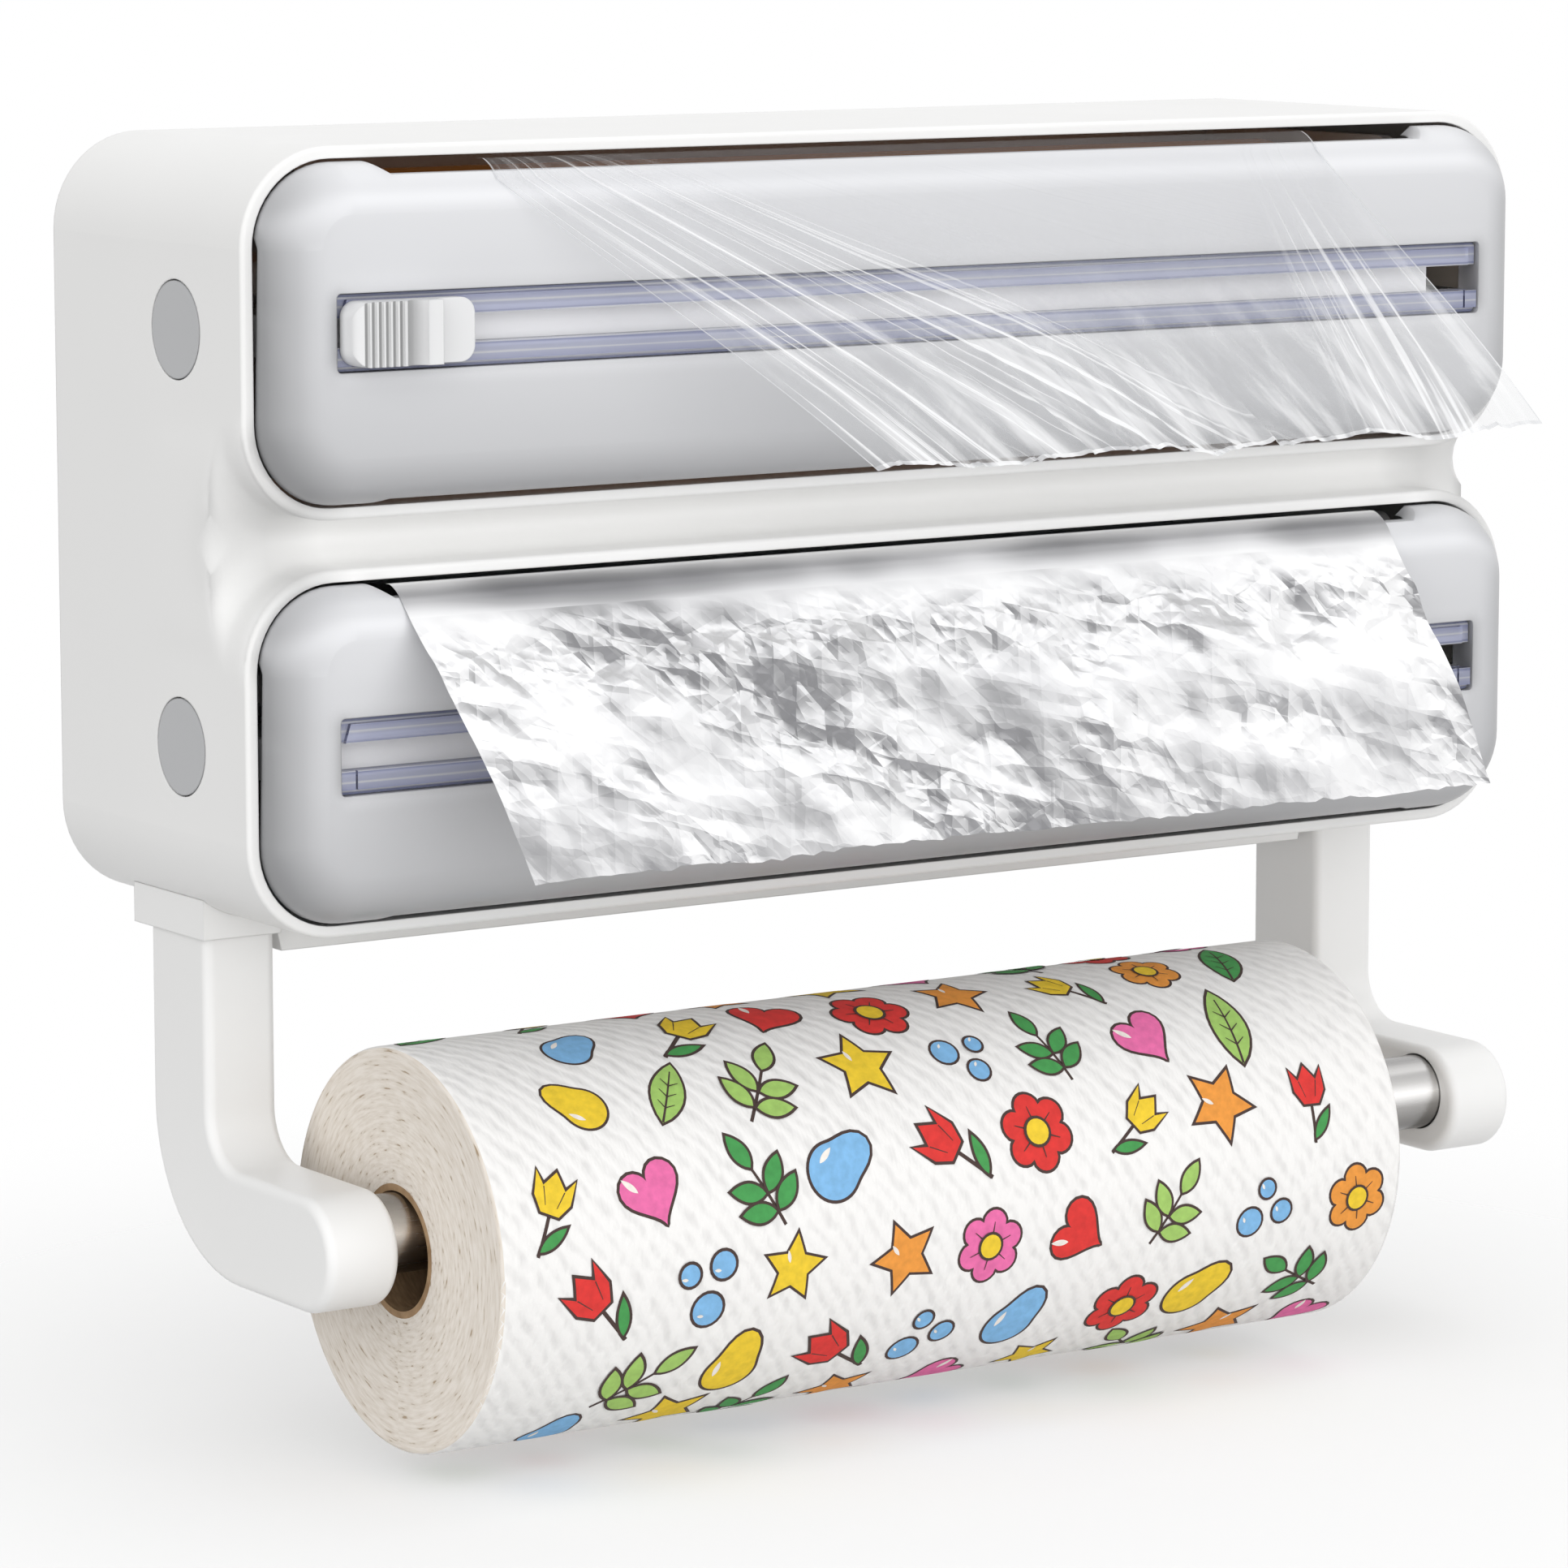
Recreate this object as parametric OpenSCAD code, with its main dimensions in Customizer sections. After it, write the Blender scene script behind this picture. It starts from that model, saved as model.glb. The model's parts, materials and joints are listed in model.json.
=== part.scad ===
/* [Housing] */
// Room from each end of the wrap to the side of the housing
end_room = 42.5; // [40:0.5:50]
// Height of the frame round one compartment
frame_h = 90; // [84:1:104]
// Height of the valley between the two frames
frame_gap = 12; // [10:1:16]
// Distance from the wall to the front of the frames
rim_depth = 96; // [92:1:116]
// Corner radius of the frames
corner_r = 24; // [20:1:28]
// Wall thickness of the housing
wall = 3; // [2.4:0.1:3.6]
// How far the valley floor lies behind the front of the frames
valley_depth = 17; // [13:1:22]
// Radius on the front edge of the frames
rim_edge_r = 1.2; // [0.6:0.1:1.4]
// Thickness of the back panel
panel_t = 3; // [2:0.5:4]

/* [Covers] */
// Gap between a cover and the frame round it
cover_gap = 0.8; // [0.7:0.1:1]
// Radius that rounds the front edge of a cover all the way round
cover_edge_r = 12; // [10:0.5:14]
// Wall thickness of a cover
cover_skin = 2.5; // [2:0.1:3]
// Depth of the wrap slot in the top edge of a cover
slot_depth = 3; // [2.5:0.1:3.5]
// Depth of the finger lip in the bottom edge of a cover
lip_depth = 1.3; // [1:0.1:2]
// How far the slot and the lip reach past each end of the wrap
slot_room = 9.5; // [5:0.5:9.5]
// Radius of the hinge pins
pin_r = 2; // [1.5:0.1:2.5]

/* [Cutter tracks] */
// Distance from each side of the housing to the track window
track_margin = 19.2; // [18.2:0.2:28]
// Height of the track window
track_h = 19; // [17:0.5:22]
// Depth of the track window below the face of the cover
track_depth = 6.5; // [6:0.5:8]
// Width of the open slot between the two rails
rail_slot = 6.8; // [6:0.2:8]
// Width of the low border along the outer edge of each rail
ledge_w = 1.2; // [0.8:0.1:1.6]
// Length of a slide cutter
cutter_l = 35.4; // [33:0.2:42]
// Height of a slide cutter
cutter_h = 15.6; // [14:0.2:18]
// How far the grip of a slide cutter stands out
cutter_rise = 8; // [6:0.2:9]
// Number of grip ribs on a slide cutter
rib_count = 6; // [4:1:7]

/* [Buttons] */
// Radius of a side button
button_r = 11.9; // [10:0.1:13]
// Distance from the front of the frames back to the button axis
button_back = 33; // [31:1:35]
// Travel of a button
button_travel = 4; // [3:0.5:4.5]
// Wire diameter of a button spring
spring_wire = 0.8; // [0.6:0.1:1]
// Turns of a button spring
spring_turns = 4; // [3:1:5]

/* [Rolls] */
// Width of the wrap on both inner rolls
wrap_w = 305; // [285:1:325]
// Radius of the wound film
film_roll_r = 27; // [22:0.5:28]
// Radius of the wound foil
foil_roll_r = 25; // [20:0.5:28]
// Inside radius of the wrap cores
wrap_bore_r = 14; // [12:0.5:15]
// Wall thickness of a cardboard core
core_t = 1.75; // [1.5:0.25:2]
// Radius of the paper roll
paper_r = 50.5; // [42:0.5:56]
// Length of the paper roll
paper_w = 276; // [240:1:280]
// Inside radius of the paper core
paper_bore_r = 15; // [14:0.5:18]

/* [Towel holder] */
// Width of an arm
arm_w = 20; // [18:0.5:22]
// Depth of an arm, the same all the way round its bend
arm_d = 29; // [27:0.5:32]
// Inside radius of the bend of an arm
arm_bend_r = 13; // [10:0.5:18]
// How far the arms stand in from the sides of the housing
arm_inset = 10; // [8:0.5:12]
// Distance from the wall to the back of an arm
arm_back = 26.5; // [24:0.5:30]
// How far an arm reaches down below the housing
arm_drop = 90.5; // [86:0.5:110]
// Distance from the wall to the front of an arm
arm_reach = 116; // [114:0.5:124]
// Height of the cross bar between the arms
bar_h = 10.5; // [8:0.5:14]
// Radius of the towel rod
rod_r = 10; // [8:0.5:11]
// Depth of the rod socket in an arm
socket_depth = 9; // [6:0.5:12]

/* [Hidden] */
$fn = 64;
eps = 0.01;
// Clearances
run_gap = 0.06;
slide_gap = 0.3;
part_gap = 0.4;

// Housing
housing_w = wrap_w + 2 * end_room;
housing_h = 2 * frame_h + frame_gap;
level_z = (frame_h + frame_gap) / 2;
rim_y = -rim_depth;
cavity_w = housing_w - 2 * wall;
cavity_h = frame_h - 2 * wall;
cavity_r = corner_r - wall;
side_x = housing_w / 2;
valley_y = rim_y + valley_depth;
valley_r = frame_gap / 2;
shelf_web = 4;
boss_r = 4.5;
boss_l = 15;
boss_inset = 75;
boss_x = side_x - boss_inset;
boss_root = 2;
boss_z = 30;
pilot_r = 1.3;
screw_r = 1.25;
screw_head_r = 3.2;
screw_head_t = 2;
wall_hole_r = 2.5;
wall_hole_inset = 17;
wall_hole_rise = 15;
wall_hole_x = side_x - wall_hole_inset;
wall_hole_z = level_z + wall_hole_rise;
valley_roll_r = 6;

// Covers, about the hinge axis in the middle of their rounded top edge
cover_w = cavity_w - 2 * cover_gap;
cover_h = cavity_h - 2 * cover_gap;
cover_r = cavity_r - cover_gap;
slot_w = wrap_w + 2 * slot_room;
cover_tail = 1;
crown_y = rim_y - cover_edge_r;
hinge_y = rim_y;
hinge_rise = cover_h / 2 - cover_edge_r;
slot_slant = 4;
ear_r = 5.5;
ear_t = 2.6;

// Tracks, below the face of the cover
track_w = housing_w - 2 * track_margin;
track_rise = 1;
window_r = 1.2;
trough_wall = 2;
rail_drop = 0.5;
ledge_drop = 1.7;
rail_end = 3;
rail_lead = [1.2, 2.7];
block_l = 4.2;
block_cut = 0.6;
rail_lip = 2.5;
web_t = 1.5;
undercut = 1.7;
track_port = 14;

// Side plates
plug_flange_t = 3;
plate_gap = 8;
plate_in = wrap_w / 2 + plug_flange_t + plate_gap;
plate_t = 3.5;
plate_out = plate_in + plate_t;
plate_room = 4;
plate_set = 12;
plate_h = cavity_h - 2 * plate_room;
plate_front = rim_y + plate_set;
plate_corner_r = 5;
lug_arm_h = 8;
foot_w = 12;
foot_t = 3;
foot_h = 60;
foot_screw_z = 22;
roll_y = -42;
roll_rise = 9;
slot_rise = 12;
stub_r = 5;

// Buttons and latches, measured from the middle of the object
button_y = rim_y + button_back;
wall_in = side_x - wall;
flange_t = 3;
flange_rim = 2.1;
flange_r = button_r + flange_rim;
flange_out = wall_in - part_gap;
stem_r = 4;
guide_r = 6;
guide_l = 4;
latch_t = 2;
latch_set = 11.5;
latch_out = side_x - latch_set;
latch_r = 8;
latch_arm_h = 6;
tooth_set = 4;
tooth_t = 2.5;
tooth_gap = 1;
tooth_l = 1.5;
tooth_in = latch_out + tooth_gap;
tooth_y = rim_y + tooth_set;
rib_in = tooth_in + tooth_l;
rib_h = 10;
spring_r = 6.8;

// Slide cutters, along from their left end
cutter_lift = slide_gap - rail_drop;
cutter_corner_r = 4;
cutter_edge_r = 2.5;
tongue_rise = 3.4;
grip_l = 24;
step_r = 1.5;
rib_start = 2.9;
rib_pitch = 1.93;
rib_cut_r = 0.75;
scoop_r = 3.2;
scoop_depth = 1.85;
scoop_half = sqrt(scoop_r * scoop_r - pow(scoop_r - scoop_depth, 2));
scoop_x = rib_start + (rib_count - 1) * rib_pitch + 2 * rib_cut_r + scoop_half;
foot_half = 14;
foot_thick = 1.6;
blade_l = 9;
blade_t = 0.6;
blade_h = 3.6;
blade_x = 12;
cutter_stop = 0.8;
cutter_end = track_w / 2 - cutter_l / 2 - cutter_stop;

// Towel holder
arm_out = side_x - arm_inset;
arm_in = arm_out - arm_w;
arm_edge_r = 2.5;
arm_low = -housing_h / 2 - arm_drop;
collar_h = 5;
collar_lip = 1;
collar_back = 6;
rod_set = 16;
rod_rise = 2;
rod_y = -arm_reach + rod_set;
rod_z = arm_low + arm_d / 2 + rod_rise;
bar_inset = 4;
bar_chamfer = 2.5;
arm_screw_inset = 15;
arm_screw_gap = 14;
arm_screw_x = side_x - arm_screw_inset;
arm_screw_l = 22;
bar_screw_x = 110;
bar_screw_l = 12;
screw_seat = 6;
paper_side_gap = 8;
paper_x = -arm_in + paper_side_gap + paper_w / 2;
paper_z = rod_z + rod_r + slide_gap - paper_bore_r;
paper_edge_r = 1.5;

// Hanging wrap
sheet_t = 0.3;
sheet_clear = 0.15;
sheet_r = cover_edge_r + sheet_clear + sheet_t / 2;
sheet_rows = 22;
sheet_cols = 26;
slot_angle = 74;
wrap_side = wrap_w / 2;
film_drop = [60, -63.6];
film_top_x = [22.5 - wrap_side, wrap_side - 30.5];
film_low_x = [99.5 - wrap_side, wrap_side + 5.5];
foil_drop = [60, -54.8];
foil_shift = -4.5;
foil_taper = 6;
foil_top_x = [foil_shift - wrap_side, foil_shift + wrap_side];
foil_low_x = foil_top_x + [foil_taper, -foil_taper];

// Middle height of a compartment: level 1 is the film, level -1 the foil
function mid_z(level) = level * level_z;
function hinge_z(level) = mid_z(level) + hinge_rise;

// Rectangle with round corners, about its middle
module round_rect(w, h, r) {
    square([w - 2 * r, h], center = true);
    square([w, h - 2 * r], center = true);
    for (x = [-1, 1], y = [-1, 1])
        translate([x * (w / 2 - r), y * (h / 2 - r)]) circle(r);
}

// Stands an outline in x and z up and extrudes it from y = from to the front, y = to
module slab(from, to) {
    translate([0, from, 0]) rotate([90, 0, 0]) linear_extrude(from - to) children();
}

// Extrudes an outline in y and z along x
module bar_x(from, to) {
    translate([from, 0, 0]) rotate([90, 0, 90]) linear_extrude(to - from) children();
}

// Cylinder along x
module rod_x(from, to, r) {
    translate([from, 0, 0]) rotate([0, 90, 0]) cylinder(h = to - from, r = r);
}

// Cylinder along y
module rod_y(from, to, r) {
    translate([0, to, 0]) rotate([-90, 0, 0]) cylinder(h = from - to, r = r);
}

// Shape made for the right side, mirrored for the left
module on_side(side) {
    mirror([side < 0 ? 1 : 0, 0, 0]) children();
}

// Half section of a slab whose far edge is rounded with radius e
module round_step(half, depth, e) {
    square([half - e, depth]);
    square([half, depth - e]);
    intersection() {
        translate([half - e, depth - e]) circle(e);
        square([half, depth]);
    }
}

// Slab w by h with corner radius r, its front edge rounded with radius e, from y = from to y = to
module pillow(w, h, r, e, from, to) {
    depth = from - to;
    translate([0, from, 0]) rotate([90, 0, 0]) {
        for (x = [-1, 1], y = [-1, 1])
            translate([x * (w / 2 - r), y * (h / 2 - r), 0])
                rotate_extrude() round_step(r, depth, e);
        rotate([90, 0, 0]) linear_extrude(h - 2 * r, center = true)
            for (m = [0, 1]) mirror([m, 0]) round_step(w / 2, depth, e);
        rotate([90, 0, 90]) linear_extrude(w - 2 * r, center = true)
            for (m = [0, 1]) mirror([m, 0]) round_step(h / 2, depth, e);
    }
}

// Screw along -y with its head at the back, from y = 0
module screw_back(l) {
    rod_y(0, -screw_head_t, screw_head_r);
    rod_y(-screw_head_t + eps, -l, screw_r);
}

// Housing

module housing_outline() {
    round_rect(housing_w, housing_h, corner_r);
}

// Space beside a frame in the valley: out from its side, up from the valley floor
module beside_frame(reach) {
    translate([valley_r, 0]) square([reach, valley_depth + 1]);
    translate([0, valley_r]) square([reach, valley_depth + 1 - valley_r]);
    intersection() {
        translate([valley_r, valley_r]) circle(valley_r);
        square(2 * valley_r);
    }
    translate([-rim_edge_r, valley_depth - rim_edge_r]) difference() {
        square([2 * rim_edge_r, rim_edge_r + 1]);
        circle(rim_edge_r);
    }
}

// Valley between the frames, and where it spreads round their corners at the ends
module valley() {
    bar_x(-side_x + corner_r, side_x - corner_r)
        for (m = [0, 1]) mirror([0, m]) translate([valley_y, 0]) mirror([1, 0]) rotate([0, 0, -90])
            mirror([1, 0]) translate([-valley_r, 0]) intersection() {
                beside_frame(valley_r);
                translate([-valley_r, 0]) square([2 * valley_r, 2 * valley_depth]);
            }
    for (side = [-1, 1]) intersection() {
        valley_corner(side, 1);
        valley_corner(side, -1);
        translate([side * side_x, 0, 0])
            cube([2 * corner_r, 4 * rim_depth, 2 * corner_r + frame_gap], center = true);
    }
}

module valley_corner(side, level) {
    translate([side * (side_x - corner_r), valley_y, level * (frame_gap / 2 + corner_r)])
        rotate([90, 0, 0]) rotate_extrude() translate([corner_r, 0]) beside_frame(2 * corner_r + frame_gap);
}

// Rolls each end of the valley floor over to the side of the housing
module valley_ends() {
    out = valley_roll_r + frame_gap;
    for (side = [-1, 1]) intersection() {
        translate([side * (side_x - valley_roll_r), valley_y + valley_roll_r, 0]) rotate_extrude() {
            translate([out, 0]) circle(frame_gap);
            translate([out, -frame_gap]) square([2 * frame_gap, 2 * frame_gap]);
        }
        translate([side * (side_x + valley_roll_r), valley_y - 2 * valley_roll_r, 0])
            cube([4 * valley_roll_r, 6 * valley_roll_r, 2 * frame_gap], center = true);
    }
}

module housing_body() {
    difference() {
        pillow(housing_w, housing_h, corner_r, rim_edge_r, 0, rim_y);
        valley();
        valley_ends();
    }
}

module at_shelf_bosses() {
    for (x = [-boss_x, boss_x])
        translate([x, 0, 0]) children();
}

module at_side_bosses() {
    for (side = [-1, 1], z = [-boss_z, boss_z])
        on_side(side) translate([wall_in - boss_r, 0, z]) children();
}

module at_panel_bosses() {
    at_shelf_bosses() children();
    at_side_bosses() children();
}

module at_arm_screws() {
    for (side = [-1, 1], y = [-1, 1])
        translate([side * arm_screw_x, -arm_back - arm_d / 2 + y * arm_screw_gap / 2, 0]) children();
}

module at_bar_screws() {
    for (x = [-1, 0, 1])
        translate([x * bar_screw_x, -arm_back - arm_d / 2, 0]) children();
}

module housing() {
    color("white") difference() {
        union() {
            difference() {
                housing_body();
                for (level = [-1, 1])
                    translate([0, 0, mid_z(level)])
                        slab(1, rim_y - 1) round_rect(cavity_w, cavity_h, cavity_r);
                slab(1, -panel_t) round_rect(cavity_w, housing_h - 2 * wall, cavity_r);
                slab(1, valley_y + shelf_web) square([cavity_w - 2 * wall, frame_gap], center = true);
            }
            at_side_bosses() slab(-panel_t, -panel_t - boss_l) {
                circle(boss_r);
                translate([0, -boss_r]) square([boss_r + wall / 2, 2 * boss_r]);
            }
            at_shelf_bosses() slab(-panel_t, -panel_t - boss_l)
                square([2 * boss_r, frame_gap + wall], center = true);
            intersection() {
                at_arm_screws() translate([0, 0, -housing_h / 2])
                    cylinder(h = screw_seat, r = boss_r);
                slab(0, rim_y) housing_outline();
            }
        }
        at_panel_bosses() rod_y(0, -panel_t - boss_l + boss_root, pilot_r);
        at_arm_screws() translate([0, 0, -housing_h / 2]) {
            translate([0, 0, -1]) cylinder(h = screw_seat + 2, r = screw_r + part_gap);
            translate([0, 0, screw_seat]) cylinder(h = 2 * screw_head_t, r = screw_head_r + part_gap);
        }
        at_bar_screws() translate([0, 0, -housing_h / 2 - 1])
            cylinder(h = wall + 2, r = screw_r + part_gap);
        for (level = [-1, 1])
            translate([0, button_y, mid_z(level)]) {
                rod_x(-side_x - 1, -wall_in + 1, button_r + part_gap);
                rod_x(wall_in - 1, side_x + 1, button_r + part_gap);
            }
    }
}

module back_panel() {
    color("gainsboro") difference() {
        slab(0, -panel_t) round_rect(cavity_w - 2 * slide_gap, housing_h - 2 * wall - 2 * slide_gap,
            cavity_r - slide_gap);
        for (x = [-1, 1], z = [-1, 1])
            translate([x * wall_hole_x, 0, z * wall_hole_z]) rod_y(1, -panel_t - 1, wall_hole_r);
        at_panel_bosses() {
            rod_y(1, -screw_head_t - eps, screw_head_r + part_gap);
            rod_y(1, -panel_t - 1, screw_r + part_gap);
        }
        at_plate_screws() rod_y(1, -panel_t - 1, pilot_r);
    }
}

module panel_screws() {
    color("silver") at_panel_bosses() translate([0, -eps, 0]) screw_back(boss_l);
}

// Side plates

module at_plate_screws() {
    for (side = [-1, 1], level = [-1, 1], z = [-1, 1])
        translate([side * (plate_in - foot_w / 2), 0, mid_z(level) + z * foot_screw_z]) children();
}

// Outline of a side plate in y and z, about the middle height of its compartment
module plate_outline() {
    difference() {
        union() {
            translate([(plate_front - panel_t) / 2, 0])
                round_rect(-panel_t - plate_front, plate_h, plate_corner_r);
            translate([hinge_y, hinge_rise]) circle(ear_r);
            translate([hinge_y, hinge_rise - lug_arm_h / 2])
                square([plate_front - hinge_y + 2 * plate_corner_r, lug_arm_h]);
        }
        translate([roll_y, roll_rise]) circle(stub_r + slide_gap);
        translate([plate_front - 1, slot_rise - stub_r - slide_gap])
            square([roll_y - plate_front + 1, 2 * (stub_r + slide_gap)]);
        translate([roll_y - stub_r - slide_gap, roll_rise])
            square([2 * (stub_r + slide_gap), slot_rise - roll_rise]);
        translate([roll_y, slot_rise]) circle(stub_r + slide_gap);
    }
}

// Moulded plate that carries the roll end, the hinge lug and the button guide
module side_plate(side, level) {
    color("whitesmoke") on_side(side) translate([0, 0, mid_z(level)]) difference() {
        union() {
            bar_x(plate_in, plate_out) plate_outline();
            translate([plate_in - foot_w, 0, 0]) slab(-panel_t, -panel_t - foot_t)
                translate([0, -foot_h / 2]) square([foot_w + plate_t, foot_h]);
            translate([0, button_y, 0]) rod_x(plate_out - eps, plate_out + guide_l, guide_r);
        }
        translate([0, hinge_y, hinge_rise]) rod_x(plate_in - 1, plate_out + 1, pin_r + run_gap);
        translate([0, button_y, 0]) rod_x(plate_in - 1, plate_out + guide_l + 1, stem_r + run_gap);
        for (z = [-1, 1])
            translate([plate_in - foot_w / 2, 0, z * foot_screw_z])
                rod_y(0, -panel_t - foot_t - 1, screw_r + part_gap);
    }
}

module plate_screws() {
    color("silver") at_plate_screws() {
        rod_y(-panel_t - foot_t, -panel_t - foot_t - screw_head_t, screw_head_r);
        rod_y(-0.5, -panel_t - foot_t - eps, screw_r);
    }
}

// Covers

// Opening along an edge of the cover, with slanted ends: half length at the edge, depth into it
module edge_notch(depth) {
    polygon([
        [-slot_w / 2, 1], [slot_w / 2, 1], [slot_w / 2, 0],
        [slot_w / 2 - slot_slant, -depth], [-slot_w / 2 + slot_slant, -depth], [-slot_w / 2, 0]
    ]);
}

module cover_shell() {
    difference() {
        pillow(cover_w, cover_h, cover_r, cover_edge_r, rim_y + cover_tail, crown_y);
        pillow(cover_w - 2 * cover_skin, cover_h - 2 * cover_skin, cover_r - cover_skin,
            cover_edge_r - cover_skin, rim_y + cover_tail + 1, crown_y + cover_skin);
    }
}

// Ear under the top edge that holds a hinge pin
module cover_ear() {
    translate([0, hinge_y, hinge_rise]) {
        bar_x(plate_out + part_gap, plate_out + part_gap + ear_t) {
            circle(ear_r);
            translate([-4, 0]) square([4 + cover_tail, cover_edge_r - cover_skin + 0.5]);
        }
    }
}

// Rib at each end of the cover, with the tooth that the latch holds
module catch_rib() {
    rib_depth = cover_edge_r - cover_skin / 2;
    bar_x(rib_in, cover_w / 2 - cover_skin / 2)
        translate([tooth_y - tooth_t, -rib_h / 2]) square([2 * tooth_t, rib_h]);
    bar_x(tooth_in, rib_in + eps)
        translate([tooth_y, -rib_h / 2]) square([tooth_t, rib_h]);
    bar_x(rib_in, rib_in + cover_skin)
        translate([rim_y - rib_depth + cover_edge_r / 2, -rib_h / 2])
            square([rib_depth - cover_edge_r / 2 + tooth_y - rim_y, rib_h]);
}

module wrap_cover(level) {
    color("lightgray") translate([0, 0, mid_z(level)]) difference() {
        union() {
            cover_shell();
            translate([0, 0, track_rise]) slab(crown_y + track_depth + trough_wall, crown_y + 1)
                square([track_w + 2 * trough_wall, track_h + 2 * trough_wall], center = true);
            for (side = [-1, 1]) on_side(side) {
                cover_ear();
                catch_rib();
            }
        }
        translate([0, 0, track_rise]) slab(crown_y + track_depth, crown_y - 1)
            round_rect(track_w, track_h, window_r);
        translate([track_w / 2 - track_port, 0, track_rise])
            slab(crown_y + track_depth + trough_wall + 1, crown_y - 1)
                translate([0, -rail_slot / 2]) square([track_port, rail_slot]);
        translate([0, 0, cover_h / 2]) slab(rim_y + cover_tail + 1, crown_y) edge_notch(slot_depth);
        translate([0, 0, -cover_h / 2]) mirror([0, 0, 1])
            slab(rim_y + cover_tail + 1, crown_y) edge_notch(lip_depth);
        translate([0, hinge_y, hinge_rise])
            for (side = [-1, 1]) on_side(side)
                rod_x(plate_out, plate_out + part_gap + ear_t + 1, pin_r);
    }
}

module cover_pins(level) {
    color("silver") translate([0, hinge_y, hinge_z(level)])
        for (side = [-1, 1]) on_side(side)
            rod_x(plate_in, plate_out + part_gap + ear_t, pin_r);
}

// Cutter tracks

// Raised faces of the two rails in x and z, with the stop blocks at the ends of the lower one
module rail_faces(end, edge) {
    polygon([
        [-end + rail_lead[0], rail_slot / 2], [end - rail_end, rail_slot / 2],
        [end - rail_end, edge], [-end + rail_lead[1], edge]
    ]);
    difference() {
        translate([-end, -edge]) square([2 * end, edge - rail_slot / 2]);
        for (x = [-end + block_l, end - block_l])
            translate([x - block_cut / 2, -edge - 1]) square([block_cut, edge]);
    }
}

// Open slot between the rails in y and z, wider below their lips
module rail_channel() {
    floor_y = crown_y + track_depth - web_t;
    lip_y = crown_y + rail_drop + rail_lip;
    translate([crown_y - 1, -rail_slot / 2]) square([floor_y - crown_y + 1, rail_slot]);
    translate([lip_y, -rail_slot / 2 - undercut]) square([floor_y - lip_y, rail_slot + 2 * undercut]);
}

// Clear track: a plate with a low border, two raised rails and the slot between them
module cutter_track(level) {
    end = track_w / 2 - slide_gap;
    half = track_h / 2 - slide_gap;
    back = crown_y + track_depth;
    color("lavender", 0.5) translate([0, 0, mid_z(level) + track_rise]) difference() {
        slab(back, crown_y + rail_drop) round_rect(2 * end, 2 * half, window_r);
        slab(crown_y + ledge_drop, crown_y - 1) difference() {
            square([2 * end + 2, 2 * half + 2], center = true);
            rail_faces(end, half - ledge_w);
        }
        bar_x(-end - 1, end + 1) rail_channel();
        translate([track_w / 2 - track_port, 0, 0]) slab(back + 1, crown_y)
            translate([0, -rail_slot / 2]) square([track_port + 1, rail_slot]);
    }
}

// Side view of a slide cutter in x and y: ribbed grip, scoop for the thumb, low tongue
module cutter_profile() {
    translate([-cutter_l / 2, 0]) difference() {
        union() {
            translate([0, cutter_lift])
                square([cutter_l, cutter_rise - cutter_edge_r - cutter_lift]);
            translate([cutter_edge_r, cutter_lift])
                square([cutter_l - cutter_edge_r, cutter_rise - cutter_lift]);
            translate([cutter_edge_r, cutter_rise - cutter_edge_r]) circle(cutter_edge_r);
        }
        translate([grip_l, tongue_rise]) {
            translate([step_r, 0]) square([cutter_l, cutter_rise]);
            translate([0, step_r]) square([cutter_l, cutter_rise]);
            translate([step_r, step_r]) circle(step_r);
        }
        translate([scoop_x, cutter_rise + scoop_r - scoop_depth]) circle(scoop_r);
        for (i = [0:rib_count - 1])
            translate([rib_start + i * rib_pitch, cutter_rise + rib_cut_r / 3]) circle(rib_cut_r);
    }
}

module cutter(level, x) {
    neck = rail_slot / 2 - slide_gap;
    sole = rail_slot / 2 + undercut - slide_gap;
    foot_top = rail_drop + rail_lip + slide_gap;
    color("white") translate([x, crown_y, mid_z(level) + track_rise]) difference() {
        union() {
            intersection() {
                mirror([0, 1, 0]) linear_extrude(cutter_h, center = true) cutter_profile();
                slab(1, -cutter_rise - 1) round_rect(cutter_l, cutter_h, cutter_corner_r);
            }
            slab(foot_top + eps, -cutter_lift - eps) square([2 * foot_half, 2 * neck], center = true);
            slab(foot_top + foot_thick, foot_top) square([2 * foot_half, 2 * sole], center = true);
        }
        blade_slot(slide_gap / 2);
    }
}

module blade_slot(gap) {
    translate([blade_x, 1.5 - blade_h / 2, 0])
        cube([blade_l + 2 * gap, blade_h + 2 * gap, blade_t + 2 * gap], center = true);
}

module cutter_blade(level, x) {
    color("silver") translate([x, crown_y, mid_z(level) + track_rise]) blade_slot(0);
}

// Buttons

module button(side, level) {
    color("darkgray") on_side(side) translate([0, button_y, mid_z(level)]) {
        rod_x(flange_out - eps, side_x, button_r);
        rod_x(flange_out - flange_t, flange_out, flange_r);
        rod_x(plate_in - 0.5, flange_out - flange_t + eps, stem_r);
    }
}

// Ring on the button stem with an arm to the front and a nose that holds the cover
module latch(side, level) {
    color("ivory") on_side(side) translate([0, 0, mid_z(level)]) {
        difference() {
            union() {
                translate([0, button_y, 0]) rod_x(latch_out - latch_t, latch_out, latch_r);
                bar_x(latch_out - latch_t, latch_out)
                    translate([tooth_y - tooth_t - slide_gap, -latch_arm_h / 2])
                        square([button_y - tooth_y + tooth_t + slide_gap, latch_arm_h]);
                bar_x(latch_out - eps, rib_in - slide_gap)
                    translate([tooth_y - tooth_t - slide_gap, -latch_arm_h / 2])
                        square([tooth_t, latch_arm_h]);
            }
            translate([0, button_y, 0]) rod_x(latch_out - latch_t - 1, latch_out + 1, stem_r);
        }
    }
}

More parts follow.
